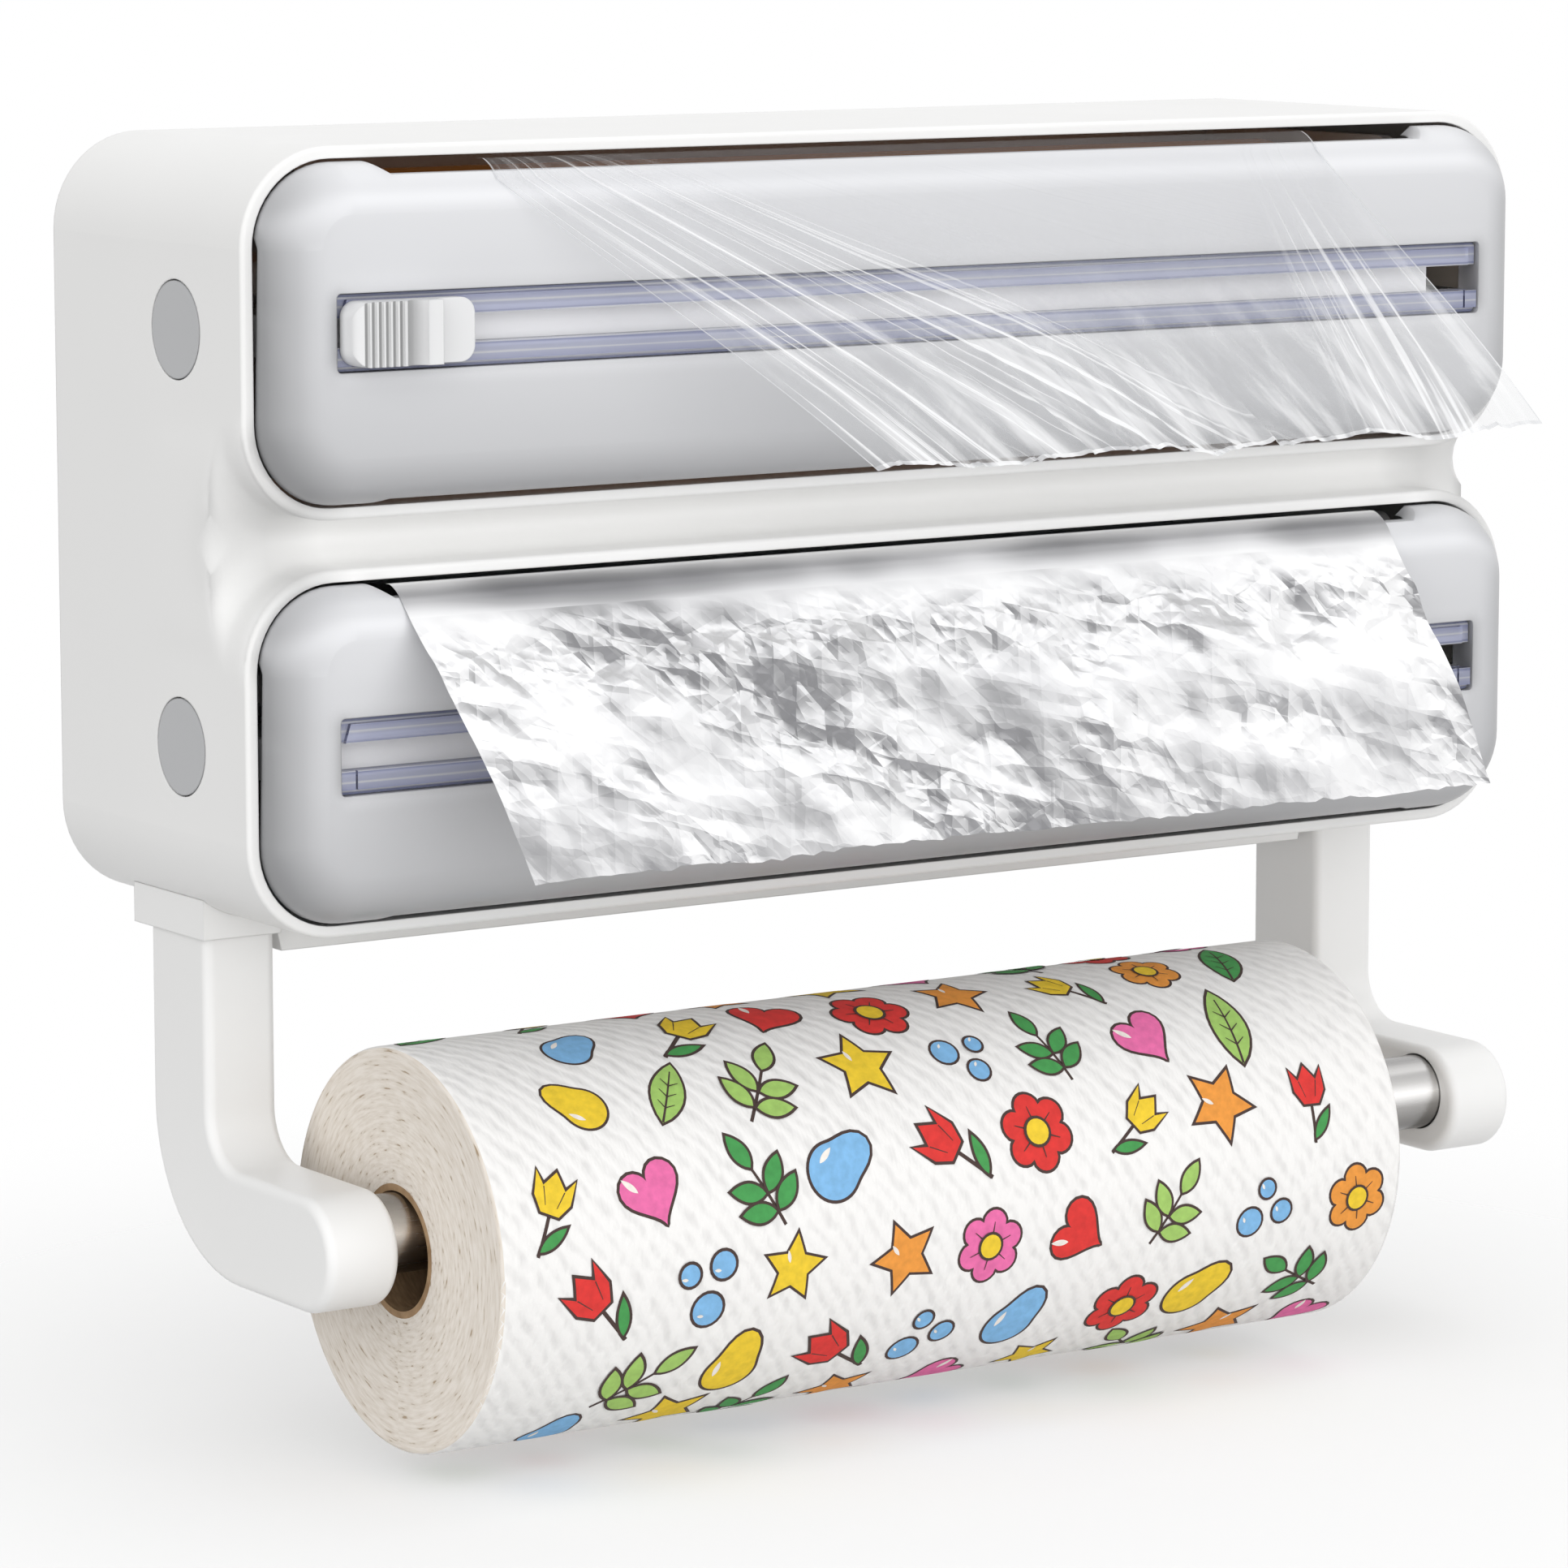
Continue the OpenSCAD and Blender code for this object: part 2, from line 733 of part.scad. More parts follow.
// Points along one coil: turns from one end to the other round the x axis
function coil_point(a, from, to, turns, r) =
    [from + (to - from) * a / (360 * turns), r * cos(a), r * sin(a)];

// Coil as one tube, with rings square to the wire
module coil(from, to, turns, r, wire) {
    rings = 8 * turns;
    sides = 6;
    pitch = (to - from) / turns;
    lean = atan(pitch / (2 * PI * r));
    points = [for (i = [0:rings], k = [0:sides - 1])
        let (a = 360 * turns * i / rings, b = 360 * k / sides, c = coil_point(a, from, to, turns, r),
            out = [0, cos(a), sin(a)], side = [cos(lean), -sin(a) * -sin(lean), cos(a) * -sin(lean)])
        c + wire / 2 * (cos(b) * out + sin(b) * side)];
    walls = [for (i = [0:rings - 1], k = [0:sides - 1])
        let (p = i * sides + k, q = i * sides + (k + 1) % sides)
        each [[p, q, q + sides], [p, q + sides, p + sides]]];
    caps = [for (k = [1:sides - 2])
        each [[0, k + 1, k], [rings * sides, rings * sides + k, rings * sides + k + 1]]];
    polyhedron(points, concat(walls, caps));
    turn = [for (i = [0:rings - 8], j = [i + 6:min(rings, i + 10)])
        norm(coil_point(360 * turns * i / rings, from, to, turns, r)
            - coil_point(360 * turns * j / rings, from, to, turns, r)) - wire];
    echo(least_coil_gap = min(turn));
}

module button_spring(side, level) {
    from = plate_out + guide_l + spring_wire / 2 + 0.1;
    to = latch_out - latch_t - spring_wire / 2 - 0.1;
    color("silver") on_side(side) translate([0, button_y, mid_z(level)])
        coil(from, to, spring_turns, spring_r - spring_wire / 2, spring_wire);
}

// Inner rolls

module wound(level, r, tint) {
    color(tint) translate([0, roll_y, mid_z(level) + roll_rise]) difference() {
        rod_x(-wrap_w / 2, wrap_w / 2, r);
        rod_x(-wrap_w / 2 - 1, wrap_w / 2 + 1, wrap_bore_r + core_t);
    }
}

module wrap_core(level) {
    color("peru") translate([0, roll_y, mid_z(level) + roll_rise]) difference() {
        rod_x(-wrap_w / 2, wrap_w / 2, wrap_bore_r + core_t);
        rod_x(-wrap_w / 2 - 1, wrap_w / 2 + 1, wrap_bore_r);
    }
}

// Plug in each end of a core, with the stub that turns in the side plate
module end_plugs(level) {
    plug_l = 14;
    color("white") translate([0, roll_y, mid_z(level) + roll_rise])
        for (side = [-1, 1]) on_side(side) {
            rod_x(wrap_w / 2 - plug_l, wrap_w / 2 + eps, wrap_bore_r - run_gap);
            rod_x(wrap_w / 2, wrap_w / 2 + plug_flange_t, wrap_bore_r + core_t + 2);
            rod_x(wrap_w / 2 + plug_flange_t - eps, plate_out + 2, stub_r);
        }
}

// Hanging wrap

// Fall of a sheet after it has left the edge of the cover, seen from the side
function lip_angle(drop) = 90 - atan2(sheet_r * 0.7 - drop[1], drop[0] - sheet_r * 0.7);
function lip(angle) = sheet_r * [cos(angle), sin(angle)];
function fall(q, drop, bulge) =
    let (start = lip(lip_angle(drop)), way = drop - start, out = [-way[1], way[0]] / norm(way))
    start + way * q + out * bulge * sin(180 * q) * q;

// Side view of a sheet, out in front and up from the hinge axis: through the slot, over the edge, down
function sheet_path(s, drop, bulge) =
    s < 2 ? [0.8 + (lip(slot_angle)[0] - 0.8) * s / 2, lip(slot_angle)[1]]
    : s < 6 ? lip(slot_angle + (lip_angle(drop) - slot_angle) * (s - 2) / 4)
    : fall((s - 6) / (sheet_rows - 6), drop, bulge);

// Share of the free fall at row s
function fall_share(s) = max(0, (s - 6) / (sheet_rows - 6));

// Closed thin solid between two offsets of a grid of points
module thin_sheet(points) {
    rows = len(points) - 1;
    cols = len(points[0]) - 1;
    function at(i, j) = points[max(0, min(rows, i))][max(0, min(cols, j))];
    function normal(i, j) =
        let (n = cross(at(i, j + 1) - at(i, j - 1), at(i + 1, j) - at(i - 1, j))) n / norm(n);
    front = [for (i = [0:rows], j = [0:cols]) at(i, j) + normal(i, j) * sheet_t / 2];
    back = [for (i = [0:rows], j = [0:cols]) at(i, j) - normal(i, j) * sheet_t / 2];
    across = cols + 1;
    skip = len(front);
    faces = [for (i = [0:rows - 1], j = [0:cols - 1])
        let (a = i * across + j, b = a + 1, c = a + across, d = c + 1)
        each [[a, c, b], [b, c, d], [a + skip, b + skip, c + skip], [b + skip, d + skip, c + skip]]];
    edge = concat([for (j = [0:cols]) j], [for (i = [1:rows]) i * across + cols],
        [for (j = [cols - 1:-1:0]) rows * across + j], [for (i = [rows - 1:-1:1]) i * across]);
    rim = [for (k = [0:len(edge) - 1])
        let (a = edge[k], b = edge[(k + 1) % len(edge)])
        each [[a, b, a + skip], [b, b + skip, a + skip]]];
    polyhedron(concat(front, back), concat(faces, rim));
}

// Point of a sheet: row s, share t across, swell out of its own plane
function sheet_point(s, t, level, top_x, low_x, drop, bulge, swell) =
    let (p = sheet_path(s, drop, bulge), q = fall_share(s),
        x = (top_x[0] + (low_x[0] - top_x[0]) * q) * (1 - t) + (top_x[1] + (low_x[1] - top_x[1]) * q) * t)
    [x, hinge_y - p[0] - swell * sin(40), hinge_z(level) + p[1] + swell * cos(40)];

// Film: folds run down from the slot and lean with the pull to the right
function film_swell(t, q) = q * (2.2 * sin(1080 * t + 60 * q) + 1.2 * sin(2160 * t - 80 * q));

// Foil: a few broad dents and a curled lower edge
function foil_swell(t, q) =
    q * (1.8 * sin(540 * t + 70) * sin(260 * q) + 1.1 * sin(1300 * t) * sin(500 * q + 40) + 0.8 * q);

module film_sheet() {
    color("aliceblue", 0.4) thin_sheet([for (s = [0:sheet_rows]) [for (j = [0:sheet_cols])
        let (t = j / sheet_cols)
        sheet_point(s, t, 1, film_top_x, film_low_x, film_drop, 3, film_swell(t, fall_share(s)))]]);
}

module foil_sheet() {
    color("silver") thin_sheet([for (s = [0:sheet_rows]) [for (j = [0:sheet_cols])
        let (t = j / sheet_cols)
        sheet_point(s, t, -1, foil_top_x, foil_low_x, foil_drop, 3, foil_swell(t, fall_share(s)))]]);
}

// Towel holder

module cross_bar() {
    half = arm_in - collar_lip - slide_gap;
    color("white") difference() {
        translate([0, -arm_back - bar_inset, 0])
            slab(0, -arm_d + 2 * bar_inset) polygon([
                [-half, -housing_h / 2], [half, -housing_h / 2],
                [half - bar_chamfer, -housing_h / 2 - bar_h], [-half + bar_chamfer, -housing_h / 2 - bar_h]
            ]);
        at_bar_screws() translate([0, 0, -housing_h / 2 - bar_screw_l + wall])
            cylinder(h = bar_screw_l, r = pilot_r);
    }
}

module bar_screws() {
    color("silver") at_bar_screws() {
        translate([0, 0, -housing_h / 2 + wall]) cylinder(h = screw_head_t, r = screw_head_r);
        translate([0, 0, -housing_h / 2 + wall + eps - bar_screw_l + 1])
            cylinder(h = bar_screw_l - 1, r = screw_r);
    }
}

// Section of an arm, standing on its back edge
module arm_section() {
    translate([arm_d / 2, 0]) round_rect(arm_d, arm_w, arm_edge_r);
}

// J-shaped arm: down, round the bend and forward to a round nose, with the same section throughout
module arm_bar() {
    bend = arm_bend_r + arm_d;
    mid_x = (arm_in + arm_out) / 2;
    nose_y = -arm_reach + arm_d / 2;
    translate([mid_x, -arm_back, arm_low + bend])
        rotate([0, 0, -90]) linear_extrude(arm_drop - bend + corner_r) arm_section();
    translate([mid_x, -arm_back - bend, arm_low + bend])
        rotate([0, 90, 0]) rotate_extrude(angle = 90)
            translate([arm_bend_r, 0]) arm_section();
    translate([mid_x, -arm_back - bend, arm_low])
        rotate([0, -90, -90]) mirror([0, 0, 1]) linear_extrude(-nose_y - arm_back - bend) arm_section();
    translate([mid_x, nose_y, arm_low + arm_d / 2])
        rotate([0, 90, 0]) rotate([0, 0, 180]) rotate_extrude(angle = 180)
            intersection() {
                translate([-arm_d / 2, 0]) arm_section();
                translate([0, -arm_w / 2]) square([arm_d, arm_w]);
            }
}

// Collar at the top of an arm, fitted to the underside of the housing
module arm_collar() {
    translate([arm_in - collar_lip, -arm_back + collar_back, -housing_h / 2 - collar_h])
        linear_extrude(collar_h + corner_r)
            translate([0, -arm_d - collar_back - collar_lip])
                square([arm_w + 2 * collar_lip, arm_d + collar_back + collar_lip]);
}

module towel_arm(side) {
    color("white") on_side(side) difference() {
        union() {
            arm_bar();
            arm_collar();
        }
        slab(1, rim_y) housing_outline();
        translate([0, rod_y, rod_z])
            rod_x(arm_in - 1, arm_in + socket_depth + part_gap, rod_r + slide_gap);
        at_arm_screws() translate([0, 0, -housing_h / 2 - arm_screw_l])
            cylinder(h = 2 * arm_screw_l, r = pilot_r);
    }
}

module arm_screws() {
    seat = -housing_h / 2 + screw_seat;
    color("silver") at_arm_screws() {
        translate([0, 0, seat]) cylinder(h = screw_head_t, r = screw_head_r);
        translate([0, 0, seat + eps - arm_screw_l]) cylinder(h = arm_screw_l, r = screw_r);
    }
}

module towel_rod() {
    color("lightsteelblue") translate([0, rod_y, rod_z])
        rod_x(-arm_in - socket_depth, arm_in + socket_depth, rod_r);
}

module paper_roll() {
    color("floralwhite") translate([paper_x, rod_y, paper_z]) rotate([0, 90, 0]) rotate_extrude()
        difference() {
            translate([paper_bore_r + core_t, -paper_w / 2])
                square([paper_r - paper_bore_r - core_t, paper_w]);
            for (m = [0, 1]) mirror([0, m]) difference() {
                translate([paper_r - paper_edge_r, paper_w / 2 - paper_edge_r]) square(2 * paper_edge_r);
                translate([paper_r - paper_edge_r, paper_w / 2 - paper_edge_r]) circle(paper_edge_r);
            }
        }
}

module paper_core() {
    color("tan") translate([paper_x, rod_y, paper_z]) difference() {
        rod_x(-paper_w / 2, paper_w / 2, paper_bore_r + core_t);
        rod_x(-paper_w / 2 - 1, paper_w / 2 + 1, paper_bore_r);
    }
}

housing();
back_panel();
panel_screws();
side_plate(-1, 1);  // upper_left_plate
side_plate(1, 1);  // upper_right_plate
side_plate(-1, -1);  // lower_left_plate
side_plate(1, -1);  // lower_right_plate
plate_screws();
wrap_cover(1);  // film_cover
cover_pins(1);  // film_cover_pins
cutter_track(1);  // film_track
cutter(1, -cutter_end);  // film_cutter
cutter_blade(1, -cutter_end);  // film_blade
film_sheet();
wrap_cover(-1);  // foil_cover
cover_pins(-1);  // foil_cover_pins
cutter_track(-1);  // foil_track
cutter(-1, 0);  // foil_cutter
cutter_blade(-1, 0);  // foil_blade
foil_sheet();
button(-1, 1);  // upper_left_button
latch(-1, 1);  // upper_left_latch
button_spring(-1, 1);  // upper_left_spring
button(1, 1);  // upper_right_button
latch(1, 1);  // upper_right_latch
button_spring(1, 1);  // upper_right_spring
button(-1, -1);  // lower_left_button
latch(-1, -1);  // lower_left_latch
button_spring(-1, -1);  // lower_left_spring
button(1, -1);  // lower_right_button
latch(1, -1);  // lower_right_latch
button_spring(1, -1);  // lower_right_spring
wound(1, film_roll_r, "burlywood");  // film_roll
wrap_core(1);  // film_core
end_plugs(1);  // film_plugs
wound(-1, foil_roll_r, "silver");  // foil_roll
wrap_core(-1);  // foil_core
end_plugs(-1);  // foil_plugs
cross_bar();
bar_screws();
towel_arm(-1);  // left_arm
towel_arm(1);  // right_arm
arm_screws();
towel_rod();
paper_roll();
paper_core();
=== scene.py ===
import bisect
import json
import math
import random

import bmesh
import bpy
from mathutils import Euler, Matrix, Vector, noise
from mathutils.geometry import delaunay_2d_cdt


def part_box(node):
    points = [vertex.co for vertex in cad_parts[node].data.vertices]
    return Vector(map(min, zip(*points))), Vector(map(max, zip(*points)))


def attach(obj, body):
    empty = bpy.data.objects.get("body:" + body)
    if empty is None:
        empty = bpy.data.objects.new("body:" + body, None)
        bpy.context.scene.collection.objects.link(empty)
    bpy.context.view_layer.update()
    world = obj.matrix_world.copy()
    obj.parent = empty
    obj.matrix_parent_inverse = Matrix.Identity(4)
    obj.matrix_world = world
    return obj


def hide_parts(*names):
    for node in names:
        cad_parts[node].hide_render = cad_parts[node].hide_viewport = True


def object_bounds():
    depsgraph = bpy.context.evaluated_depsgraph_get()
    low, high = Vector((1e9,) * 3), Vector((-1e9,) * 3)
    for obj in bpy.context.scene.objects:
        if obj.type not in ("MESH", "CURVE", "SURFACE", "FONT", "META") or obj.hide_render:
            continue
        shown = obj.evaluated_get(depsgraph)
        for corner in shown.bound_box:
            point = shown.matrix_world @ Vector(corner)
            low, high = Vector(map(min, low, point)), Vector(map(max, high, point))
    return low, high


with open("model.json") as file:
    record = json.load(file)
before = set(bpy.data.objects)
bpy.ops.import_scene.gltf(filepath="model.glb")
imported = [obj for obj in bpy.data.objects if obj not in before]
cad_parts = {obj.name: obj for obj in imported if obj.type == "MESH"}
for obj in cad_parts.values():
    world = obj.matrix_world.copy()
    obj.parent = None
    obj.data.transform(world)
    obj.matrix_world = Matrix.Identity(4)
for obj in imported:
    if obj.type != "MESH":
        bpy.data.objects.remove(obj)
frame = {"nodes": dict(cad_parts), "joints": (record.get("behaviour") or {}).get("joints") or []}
cad_low, cad_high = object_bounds()
nodes = frame["nodes"]
hinges = {joint["child"]: Vector(joint["pos_m"]) for joint in frame["joints"] if joint["type"] == "hinge"}
scene = bpy.context.scene
MM = 0.001
# which faces delaunay_2d_cdt gives: all of them, or those inside the outline
ALL_FACES, INSIDE_FACES = 0, 1


def grey(level):
    return level, level, level


BLACK, FULL = grey(0.0), grey(1.0)


def new_object(name, data):
    made = bpy.data.objects.new(name, data)
    scene.collection.objects.link(made)
    return made


# short calls for shader nodes
class NodeTree:
    """Calls that add nodes to a tree and give back their outputs."""

    # sockets of the Mix node for each kind of value: first, second and result
    MIX_SOCKETS = {"RGBA": (6, 7, 2), "VECTOR": (4, 5, 1)}

    def __init__(self, tree):
        self.tree = tree

    def node(self, kind, **values):
        """A new node. Each value goes to the property of its name, or else to the input."""
        made = self.tree.nodes.new(kind)
        for key, value in values.items():
            if hasattr(made, key):
                setattr(made, key, value)
            else:
                made.inputs[key.replace("_", " ")].default_value = value
        return made

    def link(self, source, target):
        self.tree.links.new(source, target)

    def feed(self, made, which, value):
        """Sets an input to a number or a colour, or joins it to an output."""
        if isinstance(value, (int, float)):
            made.inputs[which].default_value = value
        elif isinstance(value, tuple):
            made.inputs[which].default_value = (*value, 1)
        else:
            self.link(value, made.inputs[which])

    def math(self, operation, *values):
        made = self.node("ShaderNodeMath", operation=operation)
        for which, value in enumerate(values):
            self.feed(made, which, value)
        return made.outputs[0]

    def plus(self, first, *others):
        for other in others:
            first = self.math("ADD", first, other)
        return first

    def minus(self, first, *others):
        for other in others:
            first = self.math("SUBTRACT", first, other)
        return first

    def times(self, first, *others):
        for other in others:
            first = self.math("MULTIPLY", first, other)
        return first

    def over(self, first, second):
        return self.math("DIVIDE", first, second)

    def most(self, first, second):
        return self.math("MAXIMUM", first, second)

    def size(self, value):
        return self.math("ABSOLUTE", value)

    def bell(self, value, middle, wide):
        """1 where the value is at the middle, falling to 0 on both sides."""
        off = self.over(self.minus(value, middle), wide)
        return self.math("EXPONENT", self.times(off, off, -1.0))

    def shade(self, value, low, high, start=0.0, end=1.0, way="LINEAR"):
        """Number that goes from low to high while the value goes from start to end."""
        made = self.node("ShaderNodeMapRange", interpolation_type=way,
                         From_Min=start, From_Max=end, To_Min=low, To_Max=high)
        self.feed(made, "Value", value)
        return made.outputs[0]

    def coords(self, which="Object"):
        return self.node("ShaderNodeTexCoord").outputs[which]

    def split(self, vector):
        made = self.node("ShaderNodeSeparateXYZ")
        self.link(vector, made.inputs[0])
        return made.outputs

    def join(self, x, y, z=0.0):
        made = self.node("ShaderNodeCombineXYZ")
        for which, value in enumerate((x, y, z)):
            self.feed(made, which, value)
        return made.outputs[0]

    def stretch(self, vector, scale=(1, 1, 1), turn=0.0):
        """Coordinates scaled, then turned about z by degrees."""
        made = self.node("ShaderNodeMapping", Scale=scale, Rotation=(0, 0, math.radians(turn)))
        self.link(vector, made.inputs["Vector"])
        return made.outputs[0]

    def dot(self, vector, way):
        made = self.node("ShaderNodeVectorMath", operation="DOT_PRODUCT")
        self.link(vector, made.inputs[0])
        made.inputs[1].default_value = way
        return made.outputs["Value"]

    def length(self, vector):
        made = self.node("ShaderNodeVectorMath", operation="LENGTH")
        self.link(vector, made.inputs[0])
        return made.outputs["Value"]

    def noise(self, vector, scale, detail=3.0, rough=0.5):
        made = self.node("ShaderNodeTexNoise", Scale=scale, Detail=detail, Roughness=rough)
        self.link(vector, made.inputs["Vector"])
        return made.outputs["Fac"]

    def ramp(self, fac, *stops):
        """Colour or grey level between stops, each a place and a colour."""
        made = self.node("ShaderNodeValToRGB")
        marks = made.color_ramp.elements
        while len(marks) < len(stops):
            marks.new(0.5)
        for mark, (at, color) in zip(marks, stops):
            mark.position = at
            mark.color = (*color, 1)
        self.link(fac, made.inputs[0])
        return made.outputs[0]

    def mottle(self, fac, low, high):
        """Blotches between two colours."""
        return self.ramp(fac, (0.3, low), (0.7, high))

    def around(self, fac, color, less, more):
        """Blotches of one colour, from less to more of it."""
        return self.mottle(fac, [c * less for c in color], [min(1, c * more) for c in color])

    def tint(self, tone, color, share=1.0):
        """The colour times a tone, which may go up to 1 / share."""
        return self.ramp(self.times(tone, share), (0.0, BLACK), (1.0, [c / share for c in color]))

    def mix(self, fac, first, second, kind="RGBA"):
        """The first value where the factor is 0, the second where it is 1."""
        made = self.node("ShaderNodeMix", data_type=kind)
        self.link(fac, made.inputs[0])
        one, two, result = self.MIX_SOCKETS[kind]
        self.feed(made, one, first)
        self.feed(made, two, second)
        return made.outputs[result]

    def bevel(self, radius, samples=8):
        """Normal in the world, smoothed over edges within the radius in metres."""
        return self.node("ShaderNodeBevel", samples=samples, Radius=radius).outputs[0]

    def in_object(self, normal):
        """A normal turned from the world into the piece's own axes."""
        made = self.node("ShaderNodeVectorTransform", vector_type="NORMAL",
                         convert_from="WORLD", convert_to="OBJECT")
        self.link(normal, made.inputs[0])
        return made.outputs[0]


class Shader(NodeTree):
    """A material with one principled shader."""

    def __init__(self, name, color, rough, metal=0.0, **sockets):
        self.mat = bpy.data.materials.new(name)
        self.mat.use_nodes = True
        self.mat.diffuse_color = (*color, 1)
        super().__init__(self.mat.node_tree)
        self.inputs = self.tree.nodes["Principled BSDF"].inputs
        self.inputs["Base Color"].default_value = (*color, 1)
        self.inputs["Roughness"].default_value = rough
        self.inputs["Metallic"].default_value = metal
        for key, value in sockets.items():
            self.inputs[key.replace("_", " ")].default_value = value

    def color(self, source):
        self.link(source, self.inputs["Base Color"])

    def rough(self, source):
        self.link(source, self.inputs["Roughness"])

    def normal(self, source):
        self.link(source, self.inputs["Normal"])

    def alpha(self, source):
        self.link(source, self.inputs["Alpha"])

    def soften(self, radius):
        """Rounds the look of hard edges."""
        self.normal(self.bevel(radius, samples=4))

    def bump(self, height, strength, distance):
        """Adds a relief to the normal that is there, and gives the new normal."""
        made = self.node("ShaderNodeBump", Strength=strength, Distance=distance)
        self.link(height, made.inputs["Height"])
        old = self.inputs["Normal"]
        if old.is_linked:
            self.link(old.links[0].from_socket, made.inputs["Normal"])
        self.normal(made.outputs[0])
        return made.outputs[0]


# camera, fitted to the photo: degrees, metres, pixels of the photo and mm of the sensor
YAW, PITCH = 33.772, 8.457
CAM_AT = (-0.9413, -1.4439, 0.1722)
FOCAL_PX, PHOTO_PX, SENSOR = 7961.3, 1932.0, 36.0
NEAR, FAR = 0.05, 60


def make_camera():
    data = bpy.data.cameras.new("photo_camera")
    data.sensor_width = SENSOR
    data.lens = FOCAL_PX / PHOTO_PX * SENSOR
    data.clip_start = NEAR
    data.clip_end = FAR
    scene.camera = new_object("photo_camera", data)
    scene.camera.location = CAM_AT
    scene.camera.rotation_euler = Euler((math.radians(90 - PITCH), 0, math.radians(-YAW)))


# lamps: place, aim and size in metres, and watts
LAMPS = {
    "key": ((0.1, -2.3, 0.35), (0, -0.05, 0), (3.2, 2.4), 18.5),
    "left_fill": ((-2.0, -0.7, 0.5), (0, -0.05, 0), (2.8, 2.6), 21),
    "top": ((0.8, 0.2, 1.8), (0, -0.1, 0), (2.0, 1.8), 9),
}


def make_lamp(name):
    at, aim, size, watts = LAMPS[name]
    data = bpy.data.lights.new(name, "AREA")
    data.shape = "RECTANGLE"
    data.size, data.size_y = size
    data.energy = watts
    lamp = new_object(name, data)
    lamp.location = at
    lamp.rotation_euler = (Vector(aim) - Vector(at)).to_track_quat("-Z", "Y").to_euler()


# brightness of the sky: its middle, and how it grows to the right, to the back and up
SKY = {"middle": 0.62, "X": 0.08, "Y": -0.34, "Z": 0.06}
# how much of it the ground has, and the heights of the view between which it gives way to the sky
GROUND, HORIZON = 0.5, (-0.35, 0.2)


def make_world():
    """White where the camera looks; for the light, a soft sky over a duller ground."""
    world = bpy.data.worlds.new("studio")
    scene.world = world
    world.use_nodes = True
    world.node_tree.nodes.clear()
    w = NodeTree(world.node_tree)
    toward = w.split(w.coords("Generated"))
    sky = SKY["middle"]
    for axis in "XYZ":
        sky = w.math("MULTIPLY_ADD", toward[axis], SKY[axis], sky)
    level = w.times(sky, w.shade(toward["Z"], GROUND, 1.0, *HORIZON, way="SMOOTHSTEP"))
    rays = w.node("ShaderNodeLightPath").outputs
    shows = w.most(w.most(rays["Is Camera Ray"], rays["Is Glossy Ray"]), rays["Is Transmission Ray"])
    fill = w.node("ShaderNodeBackground", Color=(*FULL, 1))
    w.link(level, fill.inputs["Strength"])
    seen = w.node("ShaderNodeBackground", Color=(*FULL, 1), Strength=1.0)
    both = w.node("ShaderNodeMixShader")
    for which, source in enumerate((shows, fill.outputs[0], seen.outputs[0])):
        w.link(source, both.inputs[which])
    w.link(both.outputs[0], w.node("ShaderNodeOutputWorld").inputs["Surface"])


make_camera()
make_world()
for lamp_name in LAMPS:
    make_lamp(lamp_name)
scene.view_settings.view_transform = "Standard"

# plastics: scales of the clouds of tone, of the uneven gloss and of the grain, and edge radii in metres
CLOUD, GLOSS, GRAIN = 9.0, 55.0, 1500.0
EDGE, CUTTER_EDGE, COVER_TURN = 0.0006, 0.0004, 0.006
WHITE_TINT, WHITE_ROUGH = (0.87, 0.868, 0.86), 0.33


def uneven_gloss(s, low, high):
    s.rough(s.shade(s.noise(s.coords(), GLOSS), low, high))


def plastic(name, color, rough, grain=0.05, edge=0.0):
    """Moulded plastic: slight unevenness of tone and gloss, a fine grain, and softened edges."""
    s = Shader(name, color, rough)
    if edge:
        s.soften(edge)
    at = s.coords()
    s.color(s.around(s.noise(at, CLOUD, detail=2.0), color, less=0.985, more=1.01))
    uneven_gloss(s, rough - 0.05, rough + 0.06)
    s.bump(s.noise(at, GRAIN, detail=2.0), strength=grain, distance=0.1 * MM)
    return s.mat


def brushed(s, rough_low, rough_high, along):
    """Fine lines in the gloss and relief of a metal, and the pattern that they follow."""
    fine = s.noise(s.stretch(s.coords(), along), 60.0)
    s.rough(s.shade(fine, rough_low, rough_high))
    s.bump(fine, strength=0.05, distance=0.1 * MM)
    return fine


def screw_material():
    color, rough = grey(0.62), 0.3
    s = Shader("screw_steel", color, rough, metal=1.0)
    fine = brushed(s, rough - 0.06, rough + 0.08, along=(20, 20, 20))
    s.color(s.around(fine, color, less=0.9, more=1.08))
    return s.mat


def rod_material():
    """Polished tube with a painted reflection: one bright band along it, darker above and below."""
    s = Shader("rod_steel", (0.70, 0.69, 0.68), 0.24, metal=1.0)
    # painted reflection: the colour steps with how far the surface faces up
    up = s.shade(s.split(s.coords("Normal"))["Z"], 0.0, 1.0, start=-1.0)
    s.color(s.ramp(up, (0.10, (0.16, 0.155, 0.15)), (0.42, (0.42, 0.41, 0.40)), (0.60, (0.90, 0.89, 0.88)),
                   (0.72, (0.62, 0.61, 0.60)), (0.95, (0.34, 0.335, 0.33))))
    brushed(s, 0.18, 0.32, along=(1, 40, 40))
    return s.mat


# valley between the frames, in metres: half its height, where it nears the sides, and where its front ends
VALLEY_HALF, VALLEY_SIDE, VALLEY_BACK = (0.026, 0.034), (0.165, 0.18), (-0.06, -0.045)
# radius of the soft edge there, how high the painted light along the valley is, and the painted shade where
# it runs out
VALLEY_EDGE, VALLEY_LIGHT = 0.008, 0.014
VALLEY_SHADE_Y, VALLEY_SHADE_DEEP, VALLEY_SHADE_HIGH = -0.091, 0.014, 0.012


